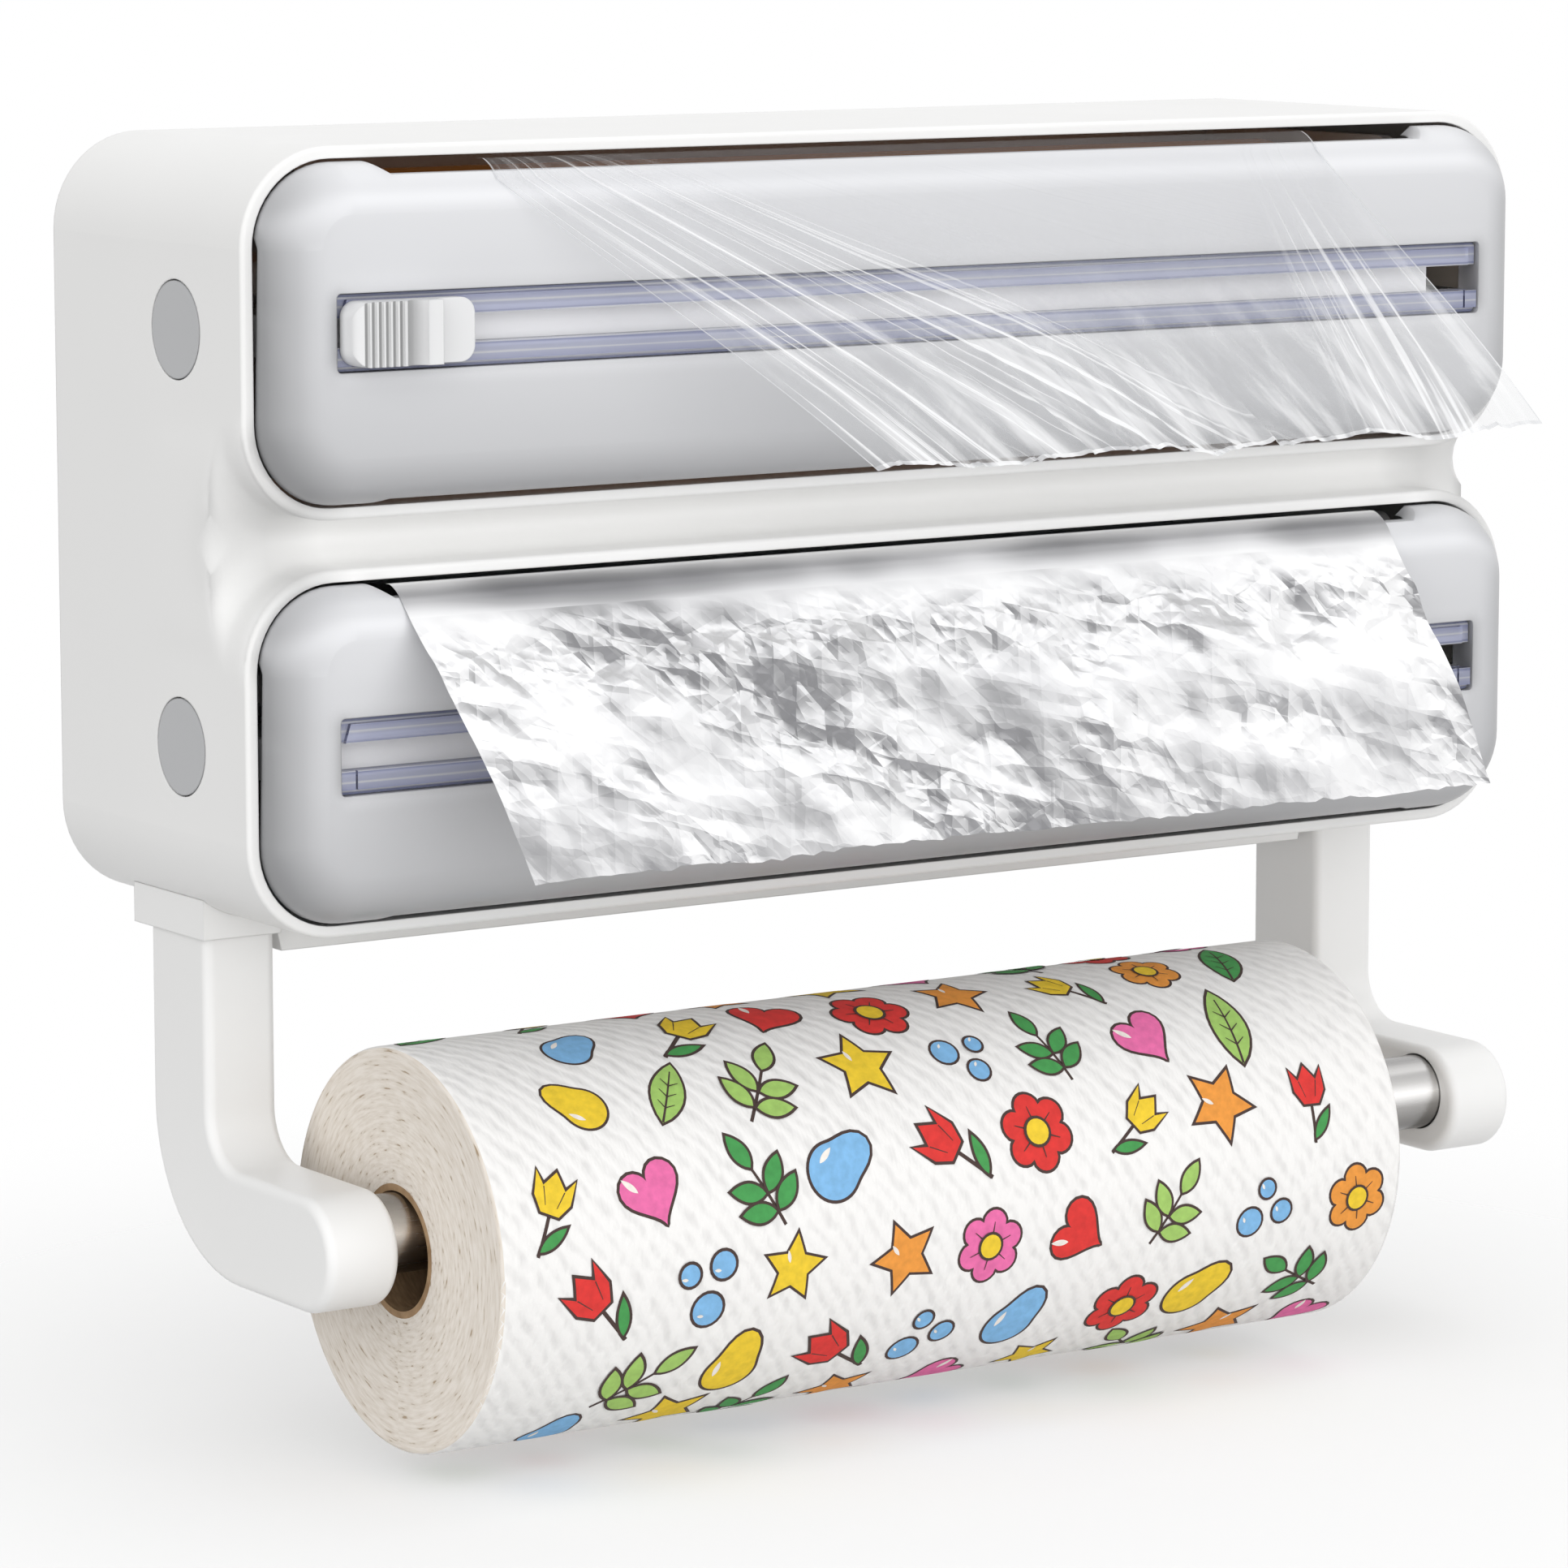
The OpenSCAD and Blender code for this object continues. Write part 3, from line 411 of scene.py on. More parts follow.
def housing_material():
    """White moulding with soft edges, softest where the valley between the frames runs into the sides, with
    painted light along the valley and painted shade where it runs out.
    """
    s = Shader("housing_plastic", WHITE_TINT, WHITE_ROUGH)
    at = s.coords()
    place = s.split(at)
    valley = s.shade(s.size(place["Z"]), 1.0, 0.0, *VALLEY_HALF)
    aside = s.shade(s.size(place["X"]), 0.0, 1.0, *VALLEY_SIDE)
    fore = s.shade(place["Y"], 1.0, 0.0, *VALLEY_BACK)
    s.normal(s.mix(s.times(valley, aside, fore), s.bevel(EDGE), s.bevel(VALLEY_EDGE), kind="VECTOR"))
    # painted shade where the valley runs out into the sides, then painted light along the valley
    valley_shade = s.times(s.bell(place["Y"], VALLEY_SHADE_Y, VALLEY_SHADE_DEEP), s.bell(place["Z"], 0.0, VALLEY_SHADE_HIGH), aside)
    light = s.times(s.bell(place["Z"], 0.0, VALLEY_LIGHT), s.minus(1.0, aside))
    cloud = s.shade(s.noise(at, CLOUD, detail=2.0), 0.98, 1.01, start=0.3, end=0.7)
    tone = s.minus(s.plus(cloud, s.times(light, 0.09)), s.times(valley_shade, 0.32))
    s.color(s.tint(tone, WHITE_TINT, share=0.9))
    uneven_gloss(s, WHITE_ROUGH - 0.05, WHITE_ROUGH + 0.06)
    return s.mat


def cover_material():
    """Pearl grey moulding with painted shade where it turns to the sides and down, near its side edges and
    low down, and a painted highlight along its top rounding.
    """
    color = (0.72, 0.725, 0.745)
    s = Shader("cover_plastic", color, 0.34)
    s.soften(EDGE)
    turn = s.split(s.in_object(s.bevel(COVER_TURN)))
    place = s.split(s.coords("Generated"))
    # painted shade: turned to the sides (aside), turned down (down), near the side edges (rim), low down
    # (foot) and below the top (head)
    sideways = s.size(turn["X"])
    aside = s.times(sideways, 0.46)
    down = s.times(s.most(0.0, s.times(turn["Z"], -1.0)), 0.08)
    rim = s.shade(s.size(s.minus(place["X"], 0.5)), 0.0, 0.03, start=0.44, end=0.5)
    foot = s.times(s.shade(place["Z"], 0.23, 0.0, end=0.42), s.minus(1.0, sideways))
    head = s.shade(place["Z"], 0.10, 0.0, start=0.6, end=0.9)
    # painted highlight along the top rounding
    painted_highlight = s.times(s.bell(turn["Z"], 0.28, 0.17), 0.14)
    cloud = s.times(s.noise(s.coords(), CLOUD, detail=2.0), 0.04)
    tone = s.minus(s.plus(0.96, painted_highlight, cloud), aside, down, rim, foot, head)
    s.color(s.tint(tone, color, share=0.8))
    uneven_gloss(s, 0.28, 0.38)
    return s.mat


# grip of the cutter in mm, for its painted shade: its length, the first groove, pitch and number of the ribs,
# and the scoop
cutter_low, cutter_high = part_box("film_cutter")
CUTTER_L = (cutter_high.x - cutter_low.x) / MM
RIB_START, RIB_PITCH, RIB_COUNT = 2.9, 1.93, 6
SCOOP_X, SCOOP_WIDE = 16.6, 2.4


def cutter_material():
    """White grip with painted shade in its grooves, in the scoop and where it faces right."""
    color = (0.80, 0.803, 0.81)
    s = Shader("cutter_plastic", color, 0.3)
    s.soften(CUTTER_EDGE)
    turn = s.split(s.coords("Normal"))
    # painted shade: where the grip faces right, in the corners that ambient occlusion finds, in the rib
    # grooves and in the scoop
    right_shade = s.times(s.most(0.0, turn["X"]), 0.55)
    open_sky = s.node("ShaderNodeAmbientOcclusion", samples=8, Distance=3 * MM).outputs["AO"]
    corner = s.shade(open_sky, 0.42, 1.0, start=0.3, end=0.95)
    along = s.times(s.split(s.coords("Generated"))["X"], CUTTER_L)
    phase = s.over(s.minus(along, RIB_START), RIB_PITCH)
    wave = s.math("COSINE", s.times(phase, 2 * math.pi))
    ribbed = s.math("COMPARE", phase, (RIB_COUNT - 1) / 2, RIB_COUNT / 2)
    front = s.math("LESS_THAN", turn["Y"], -0.2)
    groove = s.times(ribbed, front, s.shade(wave, 0.0, 0.58, end=0.9))
    scoop = s.times(s.bell(along, SCOOP_X, SCOOP_WIDE), front, 0.40)
    cloud = s.times(s.noise(s.coords(), 40.0, detail=2.0), 0.06)
    tone = s.times(s.minus(s.plus(0.94, cloud), right_shade), corner, s.minus(1.0, groove, scoop))
    s.color(s.tint(tone, color))
    return s.mat


# half the height of the track's slot, as a share of the track
SLOT_HALF = 0.185


def track_material():
    """Clear plastic with a cool tint: rails streaked with painted highlights and painted shade, a slot
    between them painted pale as light, and walls painted dark as shade.
    """
    s = Shader("track_plastic", (0.6, 0.63, 0.84), 0.08, IOR=1.49)
    wall = s.math("LESS_THAN", s.size(s.split(s.coords("Normal"))["Y"]), 0.5)
    place = s.coords("Generated")
    from_middle = s.size(s.minus(s.split(place)["Z"], 0.5))
    slot = s.math("LESS_THAN", from_middle, SLOT_HALF)
    streak = s.noise(s.stretch(place, (2.5, 0, 17)), 1.0, detail=2.0)
    wander = s.times(s.minus(streak, 0.5), 0.06)
    # the rails' own tint is fair; pale lines are painted highlights, dark, dull and dim ones painted shade,
    # and the slot's near-white is painted light
    dark, dull, dim = (0.13, 0.14, 0.27), (0.28, 0.31, 0.50), (0.46, 0.49, 0.73)
    fair, pale = (0.62, 0.65, 0.84), (0.97, 0.975, 1.0)
    rail = s.ramp(s.plus(from_middle, wander), (SLOT_HALF, pale), (0.205, dull), (0.235, fair), (0.315, fair),
                  (0.335, pale), (0.355, fair), (0.43, dim), (0.455, pale), (0.475, dull))
    s.color(s.mix(wall, s.mix(slot, rail, (0.95, 0.95, 0.96)), dark))
    s.rough(s.shade(streak, 0.05, 0.14))
    s.alpha(s.most(s.times(wall, 0.6), s.shade(slot, 0.5, 0.94)))
    s.mat.surface_render_method = "BLENDED"
    return s.mat


def wound_film_material():
    """Amber film in many layers, with a faint painted glow: an emission that stands in for light coming
    through them.
    """
    # painted glow: the roll gives off a little light of its own
    glow = (0.8, 0.33, 0.08, 1)
    s = Shader("wound_film", (0.6, 0.3, 0.1), 0.2, Emission_Strength=0.04, Emission_Color=glow)
    at = s.stretch(s.coords(), (1, 30, 30))
    s.color(s.mottle(s.noise(at, 30.0), (0.5, 0.24, 0.08), (0.7, 0.38, 0.14)))
    s.bump(s.noise(at, 80.0), strength=0.15, distance=0.3 * MM)
    return s.mat


def wound_foil_material():
    s = Shader("wound_foil", (0.75, 0.75, 0.76), 0.25, metal=1.0)
    layer = s.noise(s.stretch(s.coords(), (1, 20, 20)), 60.0)
    s.color(s.mottle(layer, (0.66, 0.66, 0.67), (0.84, 0.84, 0.85)))
    s.bump(layer, strength=0.2, distance=0.3 * MM)
    return s.mat


def card_material():
    s = Shader("core_card", (0.36, 0.23, 0.12), 0.85)
    fleck = s.noise(s.stretch(s.coords(), (4, 1, 1)), 260.0, detail=4.0)
    s.color(s.mottle(fleck, (0.28, 0.17, 0.085), (0.44, 0.29, 0.16)))
    s.bump(fleck, strength=0.2, distance=0.2 * MM)
    return s.mat


def dress(material, *names):
    for name in names:
        mesh = nodes[name].data
        mesh.materials.clear()
        mesh.materials.append(material)


def dress_solids():
    """Gives each CAD solid its material, apart from the paper roll."""
    white = plastic("white_plastic", WHITE_TINT, WHITE_ROUGH, edge=EDGE)
    inner = plastic("inner_plastic", grey(0.80), 0.5)
    button = plastic("button_plastic", (0.50, 0.505, 0.515), 0.5, grain=0.1, edge=EDGE)
    latch = plastic("latch_plastic", (0.78, 0.75, 0.68), 0.5)
    steel = screw_material()
    dress(housing_material(), "housing")
    dress(white, "cross_bar", "left_arm", "right_arm")
    dress(plastic("panel_plastic", (0.74, 0.74, 0.745), 0.55, grain=0.12), "back_panel")
    dress(cover_material(), "film_cover", "foil_cover")
    dress(track_material(), "film_track", "foil_track")
    dress(cutter_material(), "film_cutter", "foil_cutter")
    dress(steel, "panel_screws", "plate_screws", "bar_screws", "arm_screws")
    dress(steel, "film_cover_pins", "foil_cover_pins", "film_blade", "foil_blade")
    dress(inner, "film_plugs", "foil_plugs")
    dress(rod_material(), "towel_rod")
    dress(card_material(), "film_core", "foil_core", "paper_core")
    dress(wound_film_material(), "film_roll")
    dress(wound_foil_material(), "foil_roll")
    for level in ("upper", "lower"):
        for side in ("left", "right"):
            dress(inner, f"{level}_{side}_plate")
            dress(button, f"{level}_{side}_button")
            dress(latch, f"{level}_{side}_latch")
            dress(steel, f"{level}_{side}_spring")


dress_solids()

# paper roll: its box, radius and axis in metres
paper_low, paper_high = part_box("paper_roll")
PAPER_R = (paper_high.z - paper_low.z) / 2
PAPER_Y, PAPER_Z = (paper_low.y + paper_high.y) / 2, (paper_low.z + paper_high.z) / 2
# the embossing's rows and broken ridges: scale and slant in degrees
ROWS_SCALE, ROWS_SLANT, RIDGE_SCALE, RIDGE_SLANT = 74.0, -35, 300.0, 50
# turns of paper that show on an end, for each metre of radius, and flecks for each radian
TURNS, FLECKS = 1100.0, 6.0


def paper_material():
    """Embossed towel paper with painted shade in the hollows of its embossing, and the edges of its turns on
    the ends of the roll.
    """
    s = Shader("towel_paper", (0.9, 0.885, 0.86), 0.9, Sheen_Weight=0.2)
    at = s.coords()
    place = s.split(at)
    y, z = s.minus(place["Y"], PAPER_Y), s.minus(place["Z"], PAPER_Z)
    angle = s.math("ARCTAN2", y, z)
    radius = s.math("SQRT", s.plus(s.times(y, y), s.times(z, z)))
    flat = s.join(place["X"], s.times(angle, PAPER_R))
    rows = s.node("ShaderNodeTexWave", Scale=ROWS_SCALE, Distortion=3.0, Detail=2.0, Detail_Scale=1.6)
    s.link(s.stretch(flat, turn=ROWS_SLANT), rows.inputs["Vector"])
    broken = s.noise(s.stretch(flat, (1, 0.45, 1), turn=RIDGE_SLANT), RIDGE_SCALE, detail=2.0)
    pillow = s.plus(s.times(rows.outputs["Fac"], 0.28), s.times(broken, 0.85))
    facing = s.split(s.node("ShaderNodeNewGeometry").outputs["True Normal"])
    is_end = s.math("GREATER_THAN", s.size(facing["X"]), 0.7)
    s.bump(s.times(pillow, s.minus(1.0, is_end)), strength=0.6, distance=1.2 * MM)
    s.bump(s.noise(at, 900.0, detail=4.0), strength=0.2, distance=0.3 * MM)
    fleck = s.noise(s.join(s.times(radius, TURNS), s.times(angle, FLECKS)), 1.0, detail=2.0, rough=0.55)
    end = s.ramp(fleck, (0.29, (0.40, 0.30, 0.20)), (0.37, (0.72, 0.65, 0.565)), (0.62, (0.83, 0.77, 0.70)))
    # painted shade: the face is darker where the embossing is low, in its hollows
    face = s.ramp(pillow, (0.28, (0.76, 0.75, 0.738)), (0.58, (0.885, 0.875, 0.86)))
    s.color(s.mix(is_end, face, end))
    return s.mat


dress(paper_material(), "paper_roll")

# print on the paper: generic motifs, drawn in mm
INKS = {
    "dark": (0.06, 0.035, 0.03), "red": (0.72, 0.035, 0.03), "yellow": (0.86, 0.60, 0.03),
    "green": (0.06, 0.32, 0.08), "pink": (0.82, 0.16, 0.40), "blue": (0.22, 0.48, 0.78),
    "orange": (0.83, 0.32, 0.05), "lime": (0.36, 0.58, 0.14), "pale": (0.9, 0.84, 0.78),
}
LINE_WIDE = 0.75


def ink_material(name):
    """Printed colour, a little uneven like ink on soft paper."""
    s = Shader("ink_" + name, INKS[name], 0.85)
    s.color(s.around(s.noise(s.coords(), 420.0), INKS[name], less=0.86, more=1.06))
    return s.mat


def ring(count, radius):
    """Closed outline from a radius for each angle."""
    angles = [2 * math.pi * i / count for i in range(count)]
    return [(radius(a) * math.cos(a), radius(a) * math.sin(a)) for a in angles]


def moved(points, dx=0.0, dy=0.0, turn=0.0, size=1.0):
    c, s = math.cos(turn), math.sin(turn)
    return [(dx + size * (x * c - y * s), dy + size * (x * s + y * c)) for x, y in points]


def disc(r, dx=0.0, dy=0.0):
    return moved(ring(20, lambda a: r), dx, dy)


def drop(length, width, steps=10):
    """Pointed petal or leaf along +y."""
    side = []
    for k in range(steps + 1):
        f = k / steps
        side.append((width / 2 * math.sin(math.pi * f) ** 0.8 * (1 - 0.25 * f), length * f))
    return side + [(-x, y) for x, y in side[-2:0:-1]]


def heart(size, steps=36):
    points = []
    for i in range(steps):
        a = 2 * math.pi * i / steps
        x = 16 * math.sin(a) ** 3
        y = 13 * math.cos(a) - 5 * math.cos(2 * a) - 2 * math.cos(3 * a) - math.cos(4 * a)
        points.append((size * x / 17, size * y / 17))
    return points


def star(r, tips=5):
    points = []
    for i in range(2 * tips):
        far = r if i % 2 == 0 else r * 0.5
        points.append((far * math.sin(math.pi * i / tips), far * math.cos(math.pi * i / tips)))
    return points


def edged(points):
    """The outline of a closed shape, set out by the width of a drawn line."""
    n = len(points)
    turn = sum(points[i - 1][0] * points[i][1] - points[i][0] * points[i - 1][1] for i in range(n))
    side = 1 if turn > 0 else -1
    out = []
    for i, (x, y) in enumerate(points):
        (ax, ay), (bx, by) = points[i - 1], points[(i + 1) % n]
        before, after = math.hypot(x - ax, y - ay), math.hypot(bx - x, by - y)
        mx = (y - ay) / before + (by - y) / after
        my = (ax - x) / before + (x - bx) / after
        far = side * LINE_WIDE * 2 / max(0.8, mx * mx + my * my)
        out.append((x + mx * far, y + my * far))
    return out


def drawn(color, shape):
    yield "dark", edged(shape)
    yield color, shape


def motif_daisy(color):
    yield from drawn(color, ring(60, lambda a: 9.8 * (0.72 + 0.28 * abs(math.cos(3 * a)) ** 0.7)))
    for k in range(6):
        yield "dark", moved([(3.0, -0.22), (6.6, -0.1), (6.6, 0.1), (3.0, 0.22)], turn=math.pi * k / 3)
    yield from drawn("yellow" if color != "yellow" else "orange", disc(3.2))


def motif_leaf(color):
    yield from drawn(color, moved(drop(22.4, 10.8), 0, -11.2))
    yield "dark", [(-0.35, -11), (0.35, -11), (0.2, 8), (-0.2, 8)]
    for y in (-6, -2, 2):
        for side in (-1, 1):
            vein = [(0, -0.2), (3.2, -0.1), (3.2, 0.1), (0, 0.2)]
            yield "dark", moved(vein, 0, y, math.pi / 2 - side * 0.9)


def motif_sprig(color):
    yield "dark", [(-0.45, -13), (0.45, -13), (0.35, 6), (-0.35, 6)]
    for dy, turn in ((3, 0), (-4, 0.95), (-4, -0.95), (-9, 1.1), (-9, -1.1)):
        leaf = moved(drop(9.8, 5.2), -0.6 * math.sin(turn), dy + 0.6 * math.cos(turn), turn)
        yield from drawn(color, leaf)


def motif_heart(color):
    yield from drawn(color, heart(8.5))
    yield "pale", moved(drop(5.2, 1.8), -3.4, 1.2, 0.5)


def motif_star(color):
    yield from drawn(color, star(9.6))
    yield "pale", moved(drop(3.6, 1.3), -1.6, 1.4, 0.3)


def motif_drop(color):
    yield from drawn(color, moved(ring(40, lambda a: 6.5 * (1 + 0.88 * max(0, math.sin(a)) ** 6)), 0, -3))
    yield "pale", moved(drop(5.0, 1.7), -3.6, -4.6, 0.15)


def motif_dots(color):
    for dx, dy, r in ((-5, -3, 3.9), (5.5, -1, 3.1), (0, 6, 2.5)):
        yield from drawn(color, disc(r, dx, dy))
        yield "pale", moved(drop(1.8, 0.9), dx - r * 0.45, dy, 0.4)


def motif_tulip(color):
    yield "dark", [(-0.5, -13), (0.5, -13), (0.5, 0), (-0.5, 0)]
    yield from drawn("green", moved(drop(10, 3.4), 0.1, -11.6, -0.6))
    yield from drawn(color, [(-5.7, 9), (-3.2, 5.4), (0, 9.8), (3.2, 5.4), (5.7, 9), (5.3, 2.3), (2.7, -1.6),
                             (-2.7, -1.6), (-5.3, 2.3)])
    for side in (-1, 1):
        yield "dark", [(side * 2.9, 5.2), (side * 3.2, 5.2), (side * 1.8, 0.4), (side * 1.6, 0.4)]


MOTIFS = [
    (motif_daisy, "red"), (motif_leaf, "green"), (motif_heart, "pink"), (motif_drop, "blue"),
    (motif_star, "yellow"), (motif_tulip, "red"), (motif_sprig, "lime"), (motif_daisy, "orange"),
    (motif_dots, "blue"), (motif_tulip, "yellow"), (motif_heart, "red"), (motif_sprig, "green"),
    (motif_daisy, "pink"), (motif_star, "orange"), (motif_leaf, "lime"), (motif_drop, "yellow"),
]
# rows round the roll and columns along it, the jitter of a motif in its cell, and the bare ends in mm
PRINT_ROWS, PRINT_COLS, JITTER, BARE_END = 13, 9, 0.12, 13
# most that a motif is turned either way, in radians, and its least and greatest size
MOTIF_TURN, MOTIF_LEAST, MOTIF_GREATEST = 1.1, 0.9, 1.15
# lift of the first layer of ink off the paper and of each layer on it, and sizes of its faces, in mm
INK_LIFT, LAYER_LIFT, RIM_STEP, FACE_STEP = 0.05, 0.03, 1.4, 1.8


def wrapped(flat, lift):
    """Place on the paper roll of a point in mm along and round it."""
    angle = flat.y / (PAPER_R / MM)
    far = PAPER_R + lift * MM
    return paper_low.x + flat.x * MM, PAPER_Y + far * math.sin(angle), PAPER_Z + far * math.cos(angle)


def print_shape(bm, points, material, lift):
    """Cuts an outline into small faces and wraps it round the paper roll."""
    rim = []
    for i, p in enumerate(points):
        q = points[(i + 1) % len(points)]
        parts = max(1, math.ceil(math.dist(p, q) / RIM_STEP))
        rim += [Vector(p).lerp(Vector(q), k / parts) for k in range(parts)]
    n = len(rim)
    edges = [(i, (i + 1) % n) for i in range(n)]
    low = Vector((min(p.x for p in rim), min(p.y for p in rim)))
    high = Vector((max(p.x for p in rim), max(p.y for p in rim)))
    inner = [Vector((low.x + FACE_STEP * i, low.y + FACE_STEP * j))
             for i in range(1, int((high.x - low.x) / FACE_STEP) + 1)
             for j in range(1, int((high.y - low.y) / FACE_STEP) + 1)]
    cut = delaunay_2d_cdt(rim + inner, edges, [list(range(n))], INSIDE_FACES, 1e-4)
    made = [bm.verts.new(wrapped(p, lift)) for p in cut[0]]
    for corners in cut[2]:
        try:
            face = bm.faces.new([made[i] for i in corners])
        except ValueError:
            continue
        face.material_index = material
        face.normal_update()
        middle = face.calc_center_median()
        if face.normal.y * (middle.y - PAPER_Y) + face.normal.z * (middle.z - PAPER_Z) < 0:
            face.normal_flip()


def make_print():
    """Flat motifs laid on the paper as thin prints, one mesh with a material for each ink."""
    mesh = bpy.data.meshes.new("paper_print")
    order = list(INKS)
    for name in order:
        mesh.materials.append(ink_material(name))
    bm = bmesh.new()
    rng = random.Random(7)
    around = 2 * math.pi * PAPER_R / MM
    length = (paper_high.x - paper_low.x) / MM
    placed = []
    for r in range(PRINT_ROWS):
        for c in range(PRINT_COLS):
            shift = 0.5 if r % 2 else 0
            u = (c + 0.5 + shift + rng.uniform(-JITTER, JITTER)) * length / (PRINT_COLS + 0.5)
            v = (r + 0.5 + rng.uniform(-JITTER, JITTER)) * around / PRINT_ROWS
            below = len(placed) - PRINT_COLS
            near = placed[-3:] + placed[max(0, below - 2):below + 3]
            draw, color = rng.choice([m for m in MOTIFS if m not in near])
            placed.append((draw, color))
            turn, size = rng.uniform(-MOTIF_TURN, MOTIF_TURN), rng.uniform(MOTIF_LEAST, MOTIF_GREATEST)
            if not BARE_END < u < length - BARE_END:
                continue
            for layer, (tint, shape) in enumerate(draw(color)):
                flat = moved(shape, u, v, turn, size)
                print_shape(bm, flat, order.index(tint), INK_LIFT + LAYER_LIFT * layer)
    bm.to_mesh(mesh)
    bm.free()
    mesh.shade_smooth()
    piece = new_object("paper_print", mesh)
    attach(piece, "paper_roll")


make_print()

# hanging sheets, in mm from the hinge of their cover: radius of the slot's lip, and where a sheet comes out
LIP_R, SLOT_ANGLE, SLOT_OUT = 12.3, 74.0, 0.8
# the lip's corner as a share of its radius, and how far a sheet bulges out in its fall
LIP_CORNER, BULGE = 0.7, 3
# which way a fold lifts off a sheet, and which way its hem slips: out and down
LEAN, SLIP_WAY = math.radians(40), (0.6, 0.8)


def blend(a, b, f):
    return a * (1 - f) + b * f


def hill(value, middle, wide):
    """1 at the middle, falling to 0 on both sides."""
    return math.exp(-((value - middle) / wide) ** 2)


def lip(angle):
    return LIP_R * math.cos(math.radians(angle)), LIP_R * math.sin(math.radians(angle))


def side_path(end, slot_rows, lip_rows, fall_rows):
    """Side view of a sheet: out and up from the hinge, and how far each row is down its free fall."""
    corner = LIP_R * LIP_CORNER
    leave = 90 - math.degrees(math.atan2(corner - end[1], end[0] - corner))
    first = lip(SLOT_ANGLE)
    rows = [(blend(SLOT_OUT, first[0], i / slot_rows), first[1], 0.0) for i in range(slot_rows)]
    rows += [(*lip(blend(SLOT_ANGLE, leave, i / lip_rows)), 0.0) for i in range(lip_rows)]
    start = lip(leave)
    way = (end[0] - start[0], end[1] - start[1])
    for i in range(fall_rows + 1):
        q = i / fall_rows
        out = BULGE * math.sin(math.pi * q) * q / math.hypot(*way)
        rows.append((start[0] + way[0] * q - way[1] * out, start[1] + way[1] * q + way[0] * out, q))
    return rows


def sheet_point(wrap, x, out, up, lift, slip):
    """Place in metres of a point on a sheet, from mm across and from the hinge of its cover."""
    hinge = hinges[wrap + "_cover"]
    out += lift * math.sin(LEAN) + slip * SLIP_WAY[0]
    up += lift * math.cos(LEAN) - slip * SLIP_WAY[1]
    return x * MM, hinge.y - out * MM, hinge.z + up * MM


def sheet_piece(name, points, faces, uvs, material):
    """A smooth piece with a uv for each point: across, and up from the hem."""
    mesh = bpy.data.meshes.new(name)
    mesh.from_pydata(points, [], faces)
    layer = mesh.uv_layers.new(name="across_down")
    for loop in mesh.loops:
        layer.data[loop.index].uv = uvs[loop.vertex_index]
    mesh.materials.append(material)
    mesh.shade_smooth()
    return new_object(name, mesh)


# film in mm: its sides at the slot and at the hem, the hem from the hinge, and columns of its grid
FILM_TOP, FILM_LOW, FILM_END, FILM_COLS = (-130, 122), (-53, 158), (60, -63.6), 420
# broad waves: height in mm, number across and lean in degrees
FILM_WAVES = ((1.3, 3, 60), (0.6, 6, -80))
# number of fine ridges, how much of their height they have, and the shares of the width where they calm down
RIDGE_COUNT, RIDGE_SHARE, CALM_LEFT, CALM_RIGHT = 60, 0.7, 0.04, 0.07
# ragged hem: number of steps, depth in mm, and how close to the edge it stays
HEM_STEPS, HEM_DEEP, HEM_POWER = 38, 0.7, 6


def film_ridges(rng):
    """Fine ridges down the film: place and width across, height in mm, drift and begin down the fall."""
    ridges = []
    for _ in range(RIDGE_COUNT):
        at, wide = rng.uniform(0.0, 1.0), rng.uniform(0.002, 0.006)
        high = rng.uniform(0.3, 1.2) * rng.choice((1, 1, -1))
        drift, begin = rng.uniform(-0.04, 0.04), rng.uniform(0.0, 0.3)
        ridges.append((at, wide, high, drift, begin))
    return ridges


def film_swell(ridges, t, q):
    """Height in mm of the film's waves and ridges, at shares of its width and of its fall."""
    lift = 0.0
    for high, count, lean in FILM_WAVES:
        lift += q * high * math.sin(2 * math.pi * count * t + math.radians(lean * q))
    calm = min(1.0, t / CALM_LEFT, (1 - t) / CALM_RIGHT)
    for at, wide, high, drift, begin in ridges:
        off = t - at - drift * q
        if abs(off) < 3 * wide and q > begin:
            lift += RIDGE_SHARE * high * calm * (q - begin) * hill(off, 0.0, wide)
    return lift


def film_fan(s, start, low, top, spread, count, seed):
    """Creases that spread from one upper corner of the film, their brightness a painted highlight: thin lines
    and a few broad bands.
    """
    along = s.over(start, s.plus(top, s.times(low, spread)))
    spot = s.join(s.times(along, count), s.times(low, 0.8), seed)
    thin = s.ramp(s.noise(spot, 1.0, detail=2.0, rough=0.6), (0.56, BLACK), (0.63, FULL))
    band = s.ramp(s.noise(spot, 0.3, detail=1.0), (0.50, BLACK), (0.60, grey(0.8)), (0.75, grey(0.3)))
    reach = s.ramp(along, (0.70, FULL), (1.0, grey(0.06)))
    return s.times(s.plus(s.times(thin, 0.5), s.times(band, 0.3)), reach)


